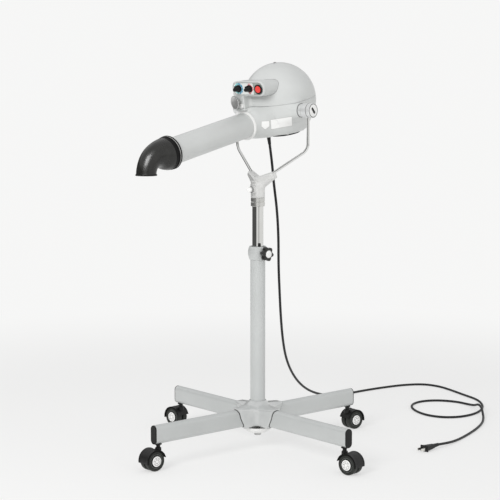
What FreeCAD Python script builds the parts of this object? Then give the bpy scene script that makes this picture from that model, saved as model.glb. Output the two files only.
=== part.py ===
import FreeCAD, Part
import math
import os
import Sketcher

# Floor-standing pet dryer. Millimetres. +Z up, origin on the floor under the pole axis,
# the nozzle blows towards -Y, the tilt axis of the head is parallel to X.

V = FreeCAD.Vector
doc = FreeCAD.newDocument("pet_dryer")

# ---------------------------------------------------------------- driving dimensions
sheet = doc.addObject("Spreadsheet::Sheet", "Sheet")
DIMS = [
    ("legYaw", -8.6), ("legReach", 333.0), ("legInner", 28.0), ("legWide", 21.0),
    ("legTall", 47.0), ("legMidZ", 87.0), ("legWall", 1.6), ("capThick", 3.0),
    ("stemReach", 321.0), ("poleR", 19.05), ("poleBoreR", 17.45), ("poleFootZ", 70.0),
    ("poleTopZ", 520.0), ("collarTopZ", 524.0), ("bushR", 14.08), ("mastR", 14.0),
    ("mastBoreR", 12.5), ("mastFootZ", 170.0), ("mastTopZ", 680.0), ("plugR", 17.35),
    ("studZ", 507.0), ("knobFaceR", 42.5), ("ringR", 17.6), ("socketR", 17.7),
    ("rodR", 3.55), ("rodX", 119.5), ("rodLeftX", 115.0), ("bendZ", 770.0), ("rodBend", 30.0),
    ("tipX", 38.0), ("tipY", 18.5), ("tipZ", 712.0),
    ("pivotY", 53.0), ("pivotZ", 868.0), ("tiltRest", 11.8),
    ("hubDiscR", 18.4), ("hubInX", 108.0), ("hubOutX", 124.3), ("knobOutX", 135.5),
    ("hubLeftR", 12.5), ("hubLeftX", 119.8), ("screwLeftR", 8.4), ("screwLeftX", 123.0),
    ("domeR", 92.9), ("domeBack", 37.0), ("seamZ", 20.0), ("shellWall", 2.5),
    ("bowlFootZ", -63.0), ("tubeX", -36.0), ("tubeZ", -25.5), ("tubeR", 32.5),
    ("tubeBoreR", 31.0), ("tubeEnd", 358.0), ("stubEnd", 66.0), ("stubR", 36.0),
    ("podX", 0.6), ("podZ", 71.2), ("podLong", 104.0), ("podTall", 38.2), ("faceY", 79.0),
    ("podFall", 0.13), ("lockLean", -17.0),
    ("motorR", 38.0), ("fanR", 64.0), ("wheelR", 25.0), ("trail", 18.0),
    ("wheelWide", 14.6), ("cordR", 3.3),
]
DIM = {}
for row, (alias, value) in enumerate(DIMS, start=1):
    sheet.set("A%d" % row, alias)
    sheet.set("B%d" % row, repr(value))
    sheet.setAlias("B%d" % row, alias)
    DIM[alias] = value
doc.recompute()


def D(alias):
    """A driving dimension as the sheet holds it."""
    return float(sheet.get(alias))


PARTS = []      # the finished pieces: (object, node name)


def bind(obj, prop, value):
    """value is a number, or a string expression over the sheet's aliases."""
    if isinstance(value, str):
        expr = value
        for alias in sorted(DIM, key=len, reverse=True):
            expr = expr.replace("<" + alias + ">", "Sheet." + alias)
        obj.setExpression(prop, expr)
    else:
        setattr(obj, prop, value)


def place(obj, pos=(0, 0, 0), axis=(0, 0, 1), angle=0.0):
    obj.Placement = FreeCAD.Placement(V(*pos), FreeCAD.Rotation(V(*axis), angle))
    return obj


TURN = {"z": ((0, 0, 1), 0), "-z": ((1, 0, 0), 180), "x": ((0, 1, 0), 90),
        "-x": ((0, 1, 0), -90), "y": ((1, 0, 0), -90), "-y": ((1, 0, 0), 90)}


def prim_cyl(name, radius, height, pos=(0, 0, 0), way="z"):
    o = doc.addObject("Part::Cylinder", name)
    bind(o, "Radius", radius)
    bind(o, "Height", height)
    axis, angle = TURN[way]
    return place(o, pos, axis, angle)


def prim_tube(name, router, rinner, height, pos=(0, 0, 0), way="z"):
    a = prim_cyl(name + "_out", router, height, pos, way)
    b = prim_cyl(name + "_in", rinner, height, pos, way)
    o = doc.addObject("Part::Cut", name)
    o.Base = a
    o.Tool = b
    return o


def cut(name, base, *tools):
    o = doc.addObject("Part::Cut", name)
    o.Base = base
    if len(tools) == 1:
        o.Tool = tools[0]
    else:
        f = doc.addObject("Part::MultiFuse", name + "_tools")
        f.Shapes = list(tools)
        o.Tool = f
    return o


def fuse(name, *shapes):
    o = doc.addObject("Part::MultiFuse", name)
    o.Shapes = list(shapes)
    return o


def group(name, *shapes):
    o = doc.addObject("Part::Compound", name)
    o.Links = list(shapes)
    return o


def raw(name, shape, placement=None):
    o = doc.addObject("Part::Feature", name)
    o.Shape = shape
    if placement is not None:
        o.Placement = placement.multiply(shape.Placement)
    return o


def keep(obj, node, placement=None):
    obj.Label = node
    if placement is not None:
        obj.Placement = placement
    PARTS.append((obj, node))
    return obj


def revolve_body(name, pts, angle=360.0):
    """A turned piece: closed profile of (radius, height) pairs, each number or expression."""
    body = doc.addObject("PartDesign::Body", name)
    sk = body.newObject("Sketcher::SketchObject", name + "_profile")
    plane = [f for f in body.Origin.OriginFeatures if f.Role == "XZ_Plane"][0]
    sk.AttachmentSupport = [(plane, "")]
    sk.MapMode = "FlatFace"
    nums = [(float(val(r)), float(val(z))) for r, z in pts]
    n = len(nums)
    for i in range(n):
        a, b = nums[i], nums[(i + 1) % n]
        sk.addGeometry(Part.LineSegment(V(a[0], a[1], 0), V(b[0], b[1], 0)), False)
    for i in range(n):
        sk.addConstraint(Sketcher.Constraint("Coincident", i, 2, (i + 1) % n, 1))
    for i in range(n):
        for kind, value, text in (("DistanceX", nums[i][0], pts[i][0]),
                                  ("DistanceY", nums[i][1], pts[i][1])):
            idx = sk.addConstraint(Sketcher.Constraint(kind, -1, 1, i, 1, value))
            if isinstance(text, str):
                bind(sk, "Constraints[%d]" % idx, text)
    rev = body.newObject("PartDesign::Revolution", name + "_turn")
    rev.Profile = sk
    rev.ReferenceAxis = (sk, ["V_Axis"])
    rev.Angle = angle
    return body


def val(x):
    """Number of an expression of the form '<alias>', '<alias> + 3' or '<alias> - 3'."""
    if not isinstance(x, str):
        return x
    parts = x.split()
    first = parts[0]
    sign = 1.0
    if first.startswith("-"):
        sign, first = -1.0, first[1:]
    total = sign * (D(first[1:-1]) if first.startswith("<") else float(first))
    for op, item in zip(parts[1::2], parts[2::2]):
        number = D(item[1:-1]) if item.startswith("<") else float(item)
        total = total + number if op == "+" else total - number
    return total


def circle_face(r, centre, normal):
    return Part.Face(Part.Wire(Part.makeCircle(r, V(*centre), V(*normal))))


def stadium(cx, cz, long, tall, y, axis="x"):
    """Closed wire in a plane y = const: a flat oval, long along X (axis x) or along Z (axis z)."""
    r = min(long, tall) / 2.0
    h = (max(long, tall) / 2.0) - r
    if axis == "x":
        a, b, c, d = V(cx - h, y, cz - r), V(cx + h, y, cz - r), V(cx + h, y, cz + r), V(cx - h, y, cz + r)
        m1, m2 = V(cx + h + r, y, cz), V(cx - h - r, y, cz)
        edges = [Part.LineSegment(a, b), Part.Arc(b, m1, c), Part.LineSegment(c, d), Part.Arc(d, m2, a)]
    else:
        a, b, c, d = V(cx - r, y, cz - h), V(cx + r, y, cz - h), V(cx + r, y, cz + h), V(cx - r, y, cz + h)
        m1, m2 = V(cx, y, cz - h - r), V(cx, y, cz + h + r)
        edges = [Part.Arc(a, m1, b), Part.LineSegment(b, c), Part.Arc(c, m2, d), Part.LineSegment(d, a)]
    return Part.Wire([e.toShape() for e in edges])


def prism(wire, vec):
    return Part.Face(wire).extrude(V(*vec))


def poly_prism(points, vec):
    return Part.Face(Part.makePolygon([V(*p) for p in points + [points[0]]])).extrude(V(*vec))


def rotz(shape, angle):
    s = shape.copy()
    s.rotate(V(0, 0, 0), V(0, 0, 1), angle)
    return s


def mirror_x(shape):
    return shape.mirror(V(0, 0, 0), V(1, 0, 0))


BASE = FreeCAD.Placement(V(0, 0, 0), FreeCAD.Rotation(V(0, 0, 1), D("legYaw")))
HEAD = FreeCAD.Placement(V(0, D("pivotY"), D("pivotZ")),
                         FreeCAD.Rotation(V(1, 0, 0), D("tiltRest")))

# ---------------------------------------------------------------- base: hub, cap, bolt
lz, lw, lt = D("legMidZ"), D("legWide"), D("legTall")
half = lt / 2.0

wing = poly_prism([(-13.6, 0, 61), (-13.6, -50, 61), (-13.6, -57, 66), (-13.6, -77, 108),
                   (-13.6, -75, 113), (-13.6, -30, 116), (-13.6, 0, 118)], (27.2, 0, 0))
wing = wing.makeFillet(2.5, [e for e in wing.Edges
                             if e.BoundBox.XLength < 0.01 and e.CenterOfMass.y < -45])
core = Part.makeCone(30.5, 46.0, 47.0, V(0, 0, 60), V(0, 0, 1))
core = core.fuse(Part.makeCone(46.0, 27.0, 9.0, V(0, 0, 107), V(0, 0, 1)))
core = core.fuse(Part.makeCone(27.0, 21.6, 11.0, V(0, 0, 116), V(0, 0, 1)))
core = core.fuse(Part.makeCylinder(10.0, 16.0, V(0, 0, 44.2), V(0, 0, 1)))
hub = core
for k in range(4):
    hub = hub.fuse(rotz(wing, 90 * k))
hub = hub.removeSplitter()
hub = hub.cut(Part.makeCylinder(D("poleR"), 80, V(0, 0, D("poleFootZ")), V(0, 0, 1)))
hub = hub.cut(Part.makeCylinder(5.1, 60, V(0, 0, 40), V(0, 0, 1)))
pocket = prism(stadium(0, lz, lw + 0.1, lt + 0.1, -D("legInner"), "z"), (0, -80, 0))
bore = Part.makeCylinder(2.55, 12, V(0, -42, 56), V(0, 0, 1))
for k in range(4):
    hub = hub.cut(rotz(pocket, 90 * k)).cut(rotz(bore, 90 * k))
keep(raw("base_hub", hub, BASE), "base_hub")

cap = revolve_body("hub_cap", [(5.1, 42.0), (14.0, 42.2), (26.0, 45.2), (33.0, 51.0),
                               (36.6, 58.6), (34.6, 58.6), (31.2, 52.2), (25.0, 47.2),
                               (14.0, 44.2), (5.1, 44.2)])
keep(cap, "hub_cap", BASE)

hexa = Part.Face(Part.makePolygon([V(9.2 * math.cos(math.radians(60 * i)),
                                     9.2 * math.sin(math.radians(60 * i)), 0) for i in range(7)]))
head_hex = hexa.extrude(V(0, 0, 6.4))
head_hex.translate(V(0, 0, 35.6))
bolt = head_hex.fuse(Part.makeCylinder(5.0, 36.4, V(0, 0, 41.6), V(0, 0, 1))).removeSplitter()
nut = hexa.extrude(V(0, 0, 6.8))
nut.translate(V(0, 0, 70.0))
nut = nut.cut(Part.makeCylinder(5.0, 20, V(0, 0, 66), V(0, 0, 1)))
keep(raw("hub_bolt", Part.makeCompound([bolt, nut]), BASE), "hub_bolt")

# ---------------------------------------------------------------- base: legs
leg = prism(stadium(0, lz, lw, lt, -D("legInner"), "z"), (0, -(D("legReach") - D("legInner")), 0))
leg = leg.cut(prism(stadium(0, lz, lw - 2 * D("legWall"), lt - 2 * D("legWall"),
                            -D("legInner") + 1, "z"), (0, -(D("legReach") - D("legInner")) - 2, 0)))
leg = leg.cut(Part.makeCylinder(6.0, 20, V(0, -D("stemReach"), lz - half - 5), V(0, 0, 1)))
leg = leg.cut(Part.makeCylinder(2.55, 12, V(0, -42, 58), V(0, 0, 1)))
LEGS = [("front_left", 0), ("front_right", 90), ("back_right", 180), ("back_left", 270)]
for tag, ang in LEGS:
    pl = FreeCAD.Placement(V(0, 0, 0), FreeCAD.Rotation(V(0, 0, 1), ang + D("legYaw")))
    keep(raw("leg_" + tag, leg, pl), "leg_" + tag)

endcap = prism(stadium(0, lz, lw, lt, -D("legReach"), "z"), (0, -D("capThick"), 0))
endcap = endcap.makeFillet(1.4, [e for e in endcap.Edges
                                 if abs(e.BoundBox.YMin + D("legReach") + D("capThick")) < 0.01
                                 and e.BoundBox.YLength < 0.01])
inner = prism(stadium(0, lz, lw - 2 * D("legWall") - 0.1, lt - 2 * D("legWall") - 0.1,
                      -D("legReach"), "z"), (0, 5.0, 0))
endcap = endcap.fuse(inner).removeSplitter()
keep(raw("leg_end_caps", Part.makeCompound([rotz(endcap, 90 * k) for k in range(4)]), BASE),
     "leg_end_caps")

screw = Part.makeCylinder(4.6, 2.6, V(0, -42, 58.4), V(0, 0, 1))
screw = screw.fuse(Part.makeCylinder(2.5, 6.5, V(0, -42, 61), V(0, 0, 1))).removeSplitter()
keep(raw("leg_screws", Part.makeCompound([rotz(screw, 90 * k) for k in range(4)]), BASE),
     "leg_screws")

sock = Part.makeCylinder(6.0, 34.0, V(0, -D("stemReach"), lz - half), V(0, 0, 1))
sock = sock.fuse(Part.makeCylinder(9.0, 1.5, V(0, -D("stemReach"), lz - half - 1.5), V(0, 0, 1)))
sock = sock.removeSplitter().cut(
    Part.makeCylinder(5.56, 33.5, V(0, -D("stemReach"), lz - half - 1.5), V(0, 0, 1)))
keep(raw("stem_sockets", Part.makeCompound([rotz(sock, 90 * k) for k in range(4)]), BASE),
     "stem_sockets")

# ---------------------------------------------------------------- base: pole, collar, bush
pole = prim_tube("outer_pole_tube", "<poleR>", "<poleBoreR>", "<poleTopZ> - <poleFootZ>",
                 (0, 0, D("poleFootZ")))
stud_way = prim_cyl("pole_stud_hole", 4.06, 30, (0, 0, D("studZ")), "x")
keep(cut("outer_pole_cut", pole, stud_way), "outer_pole", BASE)

collar = revolve_body("collar_turned", [
    ("<poleR>", 490.0), (20.8, 490.0), (22.4, 494.0), (24.2, 500.0), (24.9, 506.0), (24.6, 513.0),
    (23.2, 519.5), (21.2, "<collarTopZ>"), ("<poleBoreR>", "<collarTopZ>"),
    ("<poleBoreR>", "<poleTopZ>"), ("<poleR>", "<poleTopZ>")])
boss = prim_cyl("collar_boss", 9.2, 8.0, (19.5, 0, D("studZ")), "x")
boss_way = prim_cyl("collar_stud_hole", 4.06, 40, (0, 0, D("studZ")), "x")
boss_pole = prim_cyl("collar_pole_hole", "<poleR>", 30, (0, 0, D("studZ") - 20))
keep(cut("pole_collar_cut", fuse("collar_sum", collar, cut("boss_cut", boss, boss_pole)), boss_way),
     "pole_collar", BASE)

bush = Part.makeCylinder(D("poleBoreR"), D("collarTopZ") - 460, V(0, 0, 460), V(0, 0, 1))
tab = poly_prism([(14.4, -3.6, 523.5), (17.3, -3.6, 523.5), (17.3, -3.6, 529.0), (14.4, -3.6, 533.0)],
                 (0, 7.2, 0))
tab.rotate(V(0, 0, 0), V(0, 0, 1), 63.6 - 90.0)
bush = bush.fuse(tab).removeSplitter()
bush = bush.cut(Part.makeCylinder(D("bushR"), 100, V(0, 0, 450), V(0, 0, 1)))
bush = bush.cut(Part.makeCylinder(4.06, 30, V(0, 0, D("studZ")), V(1, 0, 0)))
keep(raw("pole_bush", bush, BASE), "pole_bush")

# height knob: six-lobed grip with its stud, turning about the stud
lobes = Part.makeCylinder(13.6, 14.0, V(28.3, 0, 0), V(1, 0, 0))
for k in range(6):
    a = math.radians(60 * k + 12)
    lobes = lobes.fuse(Part.makeCylinder(5.1, 14.0, V(28.3, 12.5 * math.cos(a), 12.5 * math.sin(a)),
                                         V(1, 0, 0)))
lobes = lobes.removeSplitter()
grip = lobes.fuse(Part.makeCylinder(8.6, 0.8, V(27.7, 0, 0), V(1, 0, 0)))
grip = grip.cut(Part.makeCylinder(9.0, 2.0, V(41.3, 0, 0), V(1, 0, 0)))
grip = grip.fuse(Part.makeCylinder(4.0, 20.0, V(14.4, 0, 0), V(1, 0, 0))).removeSplitter()
grip.translate(V(0, 0, D("studZ")))
keep(raw("height_knob", grip, BASE), "height_knob")
keep(prim_cyl("height_knob_cap", 8.9, 1.8, (0, 0, 0), "x"), "height_knob_cap")
PARTS[-1][0].Placement = BASE.multiply(FreeCAD.Placement(
    V(41.3, 0, D("studZ")), FreeCAD.Rotation(V(0, 1, 0), 90)))

# ---------------------------------------------------------------- mast
keep(prim_tube("mast_tube", "<mastR>", "<mastBoreR>", "<mastTopZ> - <mastFootZ>",
               (0, 0, D("mastFootZ"))), "mast_tube")
keep(revolve_body("mast_foot_plug", [(0, 166.0), ("<plugR>", 166.0), ("<plugR>", 190.0),
                                     ("<mastR>", 190.0), ("<mastR>", "<mastFootZ>"),
                                     (0, "<mastFootZ>")]), "mast_foot_plug")
keep(revolve_body("mast_collar", [("<mastR>", 626.0), (16.9, 626.0), ("<ringR>", 626.8),
                                  ("<ringR>", 635.6), (16.7, 636.6), (16.7, 637.8),
                                  ("<ringR>", 638.8), ("<ringR>", 647.0), (17.0, 647.7),
                                  ("<mastR>", 647.7)]), "mast_collar")

# ---------------------------------------------------------------- yoke casting, rods, rod hubs
lean = -20.0
side = [(0, -4), (15.0, -4), (17.4, 13), (46.0, 41), (45.5, 50.0), (37.0, 61.0), (27.0, 57.0), (0, 44)]
outline = side + [(-x, z) for x, z in reversed(side[1:-1])]
fan = poly_prism([(x, -8.6, z) for x, z in outline], (0, 17.2, 0))
fan = fan.makeFillet(3.6, [e for e in fan.Edges if e.BoundBox.YLength < 0.01
                           and e.CenterOfMass.z > 5])
fan.rotate(V(0, 0, 0), V(1, 0, 0), lean)
fan.translate(V(0, 0, 662))
casting = Part.makeCylinder(D("socketR"), 31.7, V(0, 0, 648.0), V(0, 0, 1))
casting = casting.fuse(Part.makeCone(D("socketR"), 9.0, 17.0, V(0, 0, 679.7), V(0, 0, 1)))
casting = casting.fuse(Part.makeCylinder(6.4, 25.0, V(0, 0, 669.5), V(0, -1, 0)))
casting = casting.fuse(fan).removeSplitter()
casting = casting.cut(Part.makeCylinder(14.06, 34.0, V(0, 0, 647.0), V(0, 0, 1)))
casting = casting.cut(Part.makeCylinder(3.06, 40.0, V(0, 0, 669.5), V(0, -1, 0)))


def rod_shape(sgn, out):
    tip = V(sgn * D("tipX"), D("tipY"), D("tipZ"))
    knee = V(sgn * out, D("pivotY"), D("bendZ"))
    d1 = (knee - tip).normalize()
    d2 = V(0, 0, 1)
    turn = d1.getAngle(d2)
    tl = D("rodBend") * math.tan(turn / 2)
    start = tip - d1 * 20.0
    a = knee - d1 * tl
    b = knee + d2 * tl
    mid_dir = (d2 - d1).normalize()
    centre = knee + mid_dir * (D("rodBend") / math.cos(turn / 2))
    m = centre - mid_dir * D("rodBend")
    top = V(knee.x, knee.y, D("pivotZ") - 8.0)
    path = Part.Wire([Part.LineSegment(start, a).toShape(), Part.Arc(a, m, b).toShape(),
                      Part.LineSegment(b, top).toShape()])
    ring = Part.Wire(Part.makeCircle(D("rodR"), start, d1))
    shell = Part.BRepOffsetAPI.MakePipeShell(path)
    shell.add(ring)
    shell.build()
    shell.makeSolid()
    return shell.shape(), start, d1


rod_r, r_start, r_dir = rod_shape(1, D("rodX"))
rod_l, l_start, l_dir = rod_shape(-1, D("rodLeftX"))
casting = casting.cut(Part.makeCylinder(D("rodR"), 60, r_start, r_dir))
casting = casting.cut(Part.makeCylinder(D("rodR"), 60, l_start, l_dir))
keep(raw("yoke_casting", casting), "yoke_casting")
keep(raw("yoke_rod_right", rod_r), "yoke_rod_right")
keep(raw("yoke_rod_left", rod_l), "yoke_rod_left")

py, pz = D("pivotY"), D("pivotZ")


def rod_end(radius, x_in, x_out, rod_x):
    d = Part.makeCylinder(radius, x_out - x_in, V(x_in, py, pz), V(1, 0, 0))
    d = d.makeFillet(1.0, [e for e in d.Edges if e.BoundBox.XLength < 0.01])
    d = d.cut(Part.makeCylinder(5.06, 40, V(100, py, pz), V(1, 0, 0)))
    return d.cut(Part.makeCylinder(D("rodR"), 20, V(rod_x, py, pz - 28), V(0, 0, 1)))


# the left end is smaller and is held by a flat slotted screw in place of a hand knob
end_right = rod_end(D("hubDiscR"), D("hubInX"), D("hubOutX"), D("rodX"))
end_left = mirror_x(rod_end(D("hubLeftR"), D("hubInX"), D("hubLeftX"), D("rodLeftX")))
keep(raw("rod_end_hubs", Part.makeCompound([end_right, end_left])), "rod_end_hubs")

# swivel clamp screw with a ball head
ball = Part.makeSphere(6.9, V(0, -32.5, 669.5))
ball = ball.fuse(Part.makeCylinder(3.0, 18.0, V(0, -14.4, 669.5), V(0, -1, 0))).removeSplitter()
keep(raw("swivel_screw", ball), "swivel_screw")

# ---------------------------------------------------------------- tilt knob and tilt screw (turn in the head's bosses)
grip = Part.makeCylinder(D("hubDiscR"), D("knobOutX") - D("hubOutX") - 0.4,
                         V(D("hubOutX") + 0.4, py, pz), V(1, 0, 0))
grip = grip.makeFillet(1.2, [e for e in grip.Edges if e.BoundBox.XLength < 0.01])
grooves = []
for k in range(30):
    a = math.radians(12 * k)
    grooves.append(Part.makeCylinder(0.9, 8.0, V(D("hubOutX") + 1.8, py + 18.9 * math.cos(a),
                                                 pz + 18.9 * math.sin(a)), V(1, 0, 0)))
grip = grip.cut(Part.makeCompound(grooves))
slot = Part.makeBox(3, 2.6, 14.0, V(D("knobOutX") - 1.2, py - 1.3, pz - 7.0))
slot.rotate(V(0, py, pz), V(1, 0, 0), 22)
grip = grip.cut(slot)
grip = grip.fuse(Part.makeCylinder(5.0, 40.0, V(86.0, py, pz), V(1, 0, 0))).removeSplitter()
keep(raw("tilt_knob_right", grip), "tilt_knob_right")
flat = Part.makeCylinder(D("screwLeftR"), D("screwLeftX") - D("hubLeftX") - 0.4,
                         V(D("hubLeftX") + 0.4, py, pz), V(1, 0, 0))
flat = flat.makeFillet(0.8, [e for e in flat.Edges if e.BoundBox.XLength < 0.01
                             and e.CenterOfMass.x > D("screwLeftX") - 0.1])
flat = flat.cut(Part.makeBox(3, 2.0, 20.0, V(D("screwLeftX") - 1.2, py - 1.0, pz - 10.0)))
flat = flat.fuse(Part.makeCylinder(5.0, D("hubLeftX") - 85.0, V(86.0, py, pz), V(1, 0, 0))).removeSplitter()
keep(raw("tilt_screw_left", mirror_x(flat)), "tilt_screw_left")

# ---------------------------------------------------------------- head, in its own level frame:
# origin on the tilt axis, the tube towards -Y; HEAD turns it nose-down into place
dr, db, sz, wall = D("domeR"), D("domeBack"), D("seamZ"), D("shellWall")
fy = D("faceY")
KNOBS = [(-28.0, 72.0), (8.0, 72.0)]
SW = (36.0, 70.5)


def half_ball(r):
    s = Part.makeSphere(r, V(0, db, sz))
    return s.common(Part.makeBox(400, 400, 200, V(-200, -200, sz)))


LOCK_AT = V(D("tubeX"), -fy, 37.7)


def lock_turned(shape):
    """The lock knob's axis leans to the object's left of straight ahead."""
    s = shape.copy()
    s.rotate(LOCK_AT, V(0, 0, 1), D("lockLean"))
    return s


outer = half_ball(dr)
pod = prism(stadium(D("podX"), D("podZ"), D("podLong"), D("podTall"), -fy),
            (0, fy + db, -D("podFall") * (fy + db)))
pod = pod.makeFillet(2.0, [e for e in pod.Edges if abs(e.BoundBox.YMin + fy) < 0.01
                           and e.BoundBox.YLength < 0.01])
neck = Part.makeBox(32.5, fy + 20, 40.0, V(-52.0, -fy, sz))
neck = neck.makeFillet(4.0, [e for e in neck.Edges if e.BoundBox.ZLength > 30
                             and e.CenterOfMass.y < 0])
outer = outer.fuse(pod).fuse(neck)
inside = half_ball(dr - wall)
inside = inside.fuse(prism(stadium(D("podX"), D("podZ"), D("podLong") - 2 * wall,
                                   D("podTall") - 2 * wall, -fy + wall),
                           (0, fy + db - wall, -D("podFall") * (fy + db - wall))))
inside = inside.fuse(Part.makeBox(32.5 - 2 * wall, fy + 16, 40.0, V(-52.0 + wall, -fy + wall, sz - 1)))
upper = outer.cut(inside)
for kx, kz in KNOBS:
    upper = upper.cut(Part.makeCylinder(4.06, 12, V(kx, -fy - 5, kz), V(0, 1, 0)))
upper = upper.cut(Part.makeCylinder(10.2, 12, V(SW[0], -fy - 5, SW[1]), V(0, 1, 0)))
upper = upper.cut(lock_turned(Part.makeCylinder(3.06, 14, V(D("tubeX"), -fy - 6, 37.7), V(0, 1, 0))))
upper = upper.cut(Part.makeCylinder(2.0, 12, V(0, db, sz + dr - 8), V(0, 0, 1)))
keep(raw("upper_housing", upper, HEAD), "upper_housing")

bowl_pts = [(dr, sz), (92.4, 9.0), (89.8, -5.0), (84.6, -18.0), (77.4, -32.0), (68.6, -48.0),
            (62.8, -58.0), (57.5, D("bowlFootZ"))]
outer_pts = [V(0, 0, D("bowlFootZ"))] + [V(r, 0, z) for r, z in reversed(bowl_pts)] + [V(0, 0, sz)]
inner_pts = ([V(0, 0, D("bowlFootZ") + wall)] + [V(r - wall, 0, max(z, D("bowlFootZ") + wall))
             for r, z in reversed(bowl_pts)] + [V(0, 0, sz)])


def turned(points):
    face = Part.Face(Part.makePolygon(points + [points[0]]))
    s = face.revolve(V(0, 0, 0), V(0, 0, 1), 360)
    s.translate(V(0, db, 0))
    return s


tx, tz = D("tubeX"), D("tubeZ")
lower = turned(outer_pts)
lower = lower.fuse(Part.makeCylinder(D("stubR"), D("stubEnd") + 20, V(tx, 20, tz), V(0, -1, 0)))
bridge = Part.makeBox(32.5, 66.0, 32.0, V(-52.0, -D("stubEnd"), sz - 32.0))
ledge = Part.makeBox(32.5, 30.0, 6.4, V(-52.0, -fy, sz - 6.4))
ledge = ledge.makeFillet(3.0, [e for e in ledge.Edges if abs(e.BoundBox.YMin + fy) < 0.01
                               and abs(e.BoundBox.ZMax - sz) > 1 or e.BoundBox.ZLength > 5
                               and e.CenterOfMass.y < -70])
bridge = bridge.fuse(ledge)
lower = lower.fuse(bridge)
lower = lower.cut(turned(inner_pts))
lower = lower.cut(Part.makeCylinder(D("tubeR"), D("stubEnd") + 40, V(tx, 40, tz), V(0, -1, 0)))
lower = lower.cut(Part.makeCylinder(39.0, 20, V(0, db, -70), V(0, 0, 1)))
lower = lower.cut(Part.makeCylinder(17.0, 240, V(-120, 0, 0), V(1, 0, 0)))
lower = lower.cut(turned(inner_pts))
lower = lower.removeSplitter()
if len(lower.Solids) > 1:
    lower = sorted(lower.Solids, key=lambda s: s.Volume)[-1]
keep(raw("lower_housing", lower, HEAD), "lower_housing")

bossr = Part.makeCylinder(17.0, 22.0, V(75.0, 0, 0), V(1, 0, 0))
bossr = bossr.cut(Part.makeCylinder(5.06, 14.0, V(84.0, 0, 0), V(1, 0, 0)))
keep(raw("pivot_bosses", Part.makeCompound([bossr, mirror_x(bossr)]), HEAD), "pivot_bosses")
wash = Part.makeCylinder(16.4, 10.6, V(97.0, 0, 0), V(1, 0, 0))
wash = wash.cut(Part.makeCylinder(5.2, 20, V(90, 0, 0), V(1, 0, 0)))
keep(raw("friction_washers", Part.makeCompound([wash, mirror_x(wash)]), HEAD), "friction_washers")

panel = prism(stadium(D("podX"), D("podZ"), 96.0, 31.0, -fy - 1.4), (0, 1.4, 0))
for kx, kz in KNOBS:
    panel = panel.cut(Part.makeCylinder(4.06, 12, V(kx, -fy - 5, kz), V(0, 1, 0)))
panel = panel.cut(Part.makeCylinder(10.2, 12, V(SW[0], -fy - 5, SW[1]), V(0, 1, 0)))
keep(raw("control_panel", panel, HEAD), "control_panel")

bezel = Part.makeCylinder(11.9, 2.6, V(SW[0], -fy - 1.4, SW[1]), V(0, -1, 0))
bezel = bezel.fuse(Part.makeCylinder(10.2, 20.0, V(SW[0], -fy + 18.6, SW[1]), V(0, -1, 0)))
bezel = bezel.removeSplitter().cut(Part.makeCylinder(8.7, 30, V(SW[0], -fy + 15.6, SW[1]), V(0, -1, 0)))
keep(raw("switch_bezel", bezel, HEAD), "switch_bezel")
button = Part.makeCylinder(8.6, 15.0, V(SW[0], -fy + 10.0, SW[1]), V(0, -1, 0))
button = button.makeFillet(1.2, [e for e in button.Edges if abs(e.BoundBox.YMin + fy + 5.0) < 0.01
                                 and e.BoundBox.YLength < 0.01])
keep(raw("power_button", button, HEAD), "power_button")


def pointer_knob(kx, kz):
    k = Part.makeCylinder(9.0, 3.0, V(kx, -fy - 1.7, kz), V(0, -1, 0))
    k = k.fuse(Part.makeCone(7.4, 4.4, 15.0, V(kx, -fy - 4.7, kz), V(0, -1, 0)))
    fin = Part.makeBox(3.0, 13.0, 8.6, V(kx - 1.5, -fy - 17.7, kz))
    k = k.fuse(fin)
    k = k.fuse(Part.makeCylinder(4.0, 16.0, V(kx, -fy + 14.0, kz), V(0, -1, 0)))
    return k.removeSplitter()


keep(raw("speed_knob", pointer_knob(*KNOBS[0]), HEAD), "speed_knob")
keep(raw("heat_knob", pointer_knob(*KNOBS[1]), HEAD), "heat_knob")

lock = Part.makeCylinder(D("hubDiscR"), 5.0, V(tx, -fy - 9.0, 37.7), V(0, -1, 0))
lock = lock.makeFillet(1.2, [e for e in lock.Edges if e.BoundBox.YLength < 0.01])
grooves = []
for k in range(30):
    a = math.radians(12 * k)
    grooves.append(Part.makeCylinder(0.9, 6.0, V(tx + 18.9 * math.cos(a), -fy - 8.5,
                                                 37.7 + 18.9 * math.sin(a)), V(0, -1, 0)))
lock = lock.cut(Part.makeCompound(grooves))
lock = lock.fuse(Part.makeCylinder(5.5, 8.0, V(tx, -fy - 1.8, 37.7), V(0, -1, 0)))
lock = lock.fuse(Part.makeCylinder(3.0, 20.0, V(tx, -fy + 16.0, 37.7), V(0, -1, 0))).removeSplitter()
keep(raw("tube_lock_knob", lock_turned(lock), HEAD), "tube_lock_knob")

# air tube and its collar ring
keep(prim_tube("air_tube", "<tubeR>", "<tubeBoreR>", "<tubeEnd> - 50"), "air_tube")
PARTS[-1][0].Placement = HEAD.multiply(FreeCAD.Placement(
    V(tx, -50, tz), FreeCAD.Rotation(V(1, 0, 0), 90)))
ring = revolve_body("tube_collar", [("<tubeR>", 0), (36.8, 0), (37.8, 1.0), (37.8, 3.2), (36.6, 4.4),
                                    ("<tubeR>", 4.4)])
keep(ring, "tube_collar", HEAD.multiply(FreeCAD.Placement(
    V(tx, -D("stubEnd"), tz), FreeCAD.Rotation(V(1, 0, 0), 90))))

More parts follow.
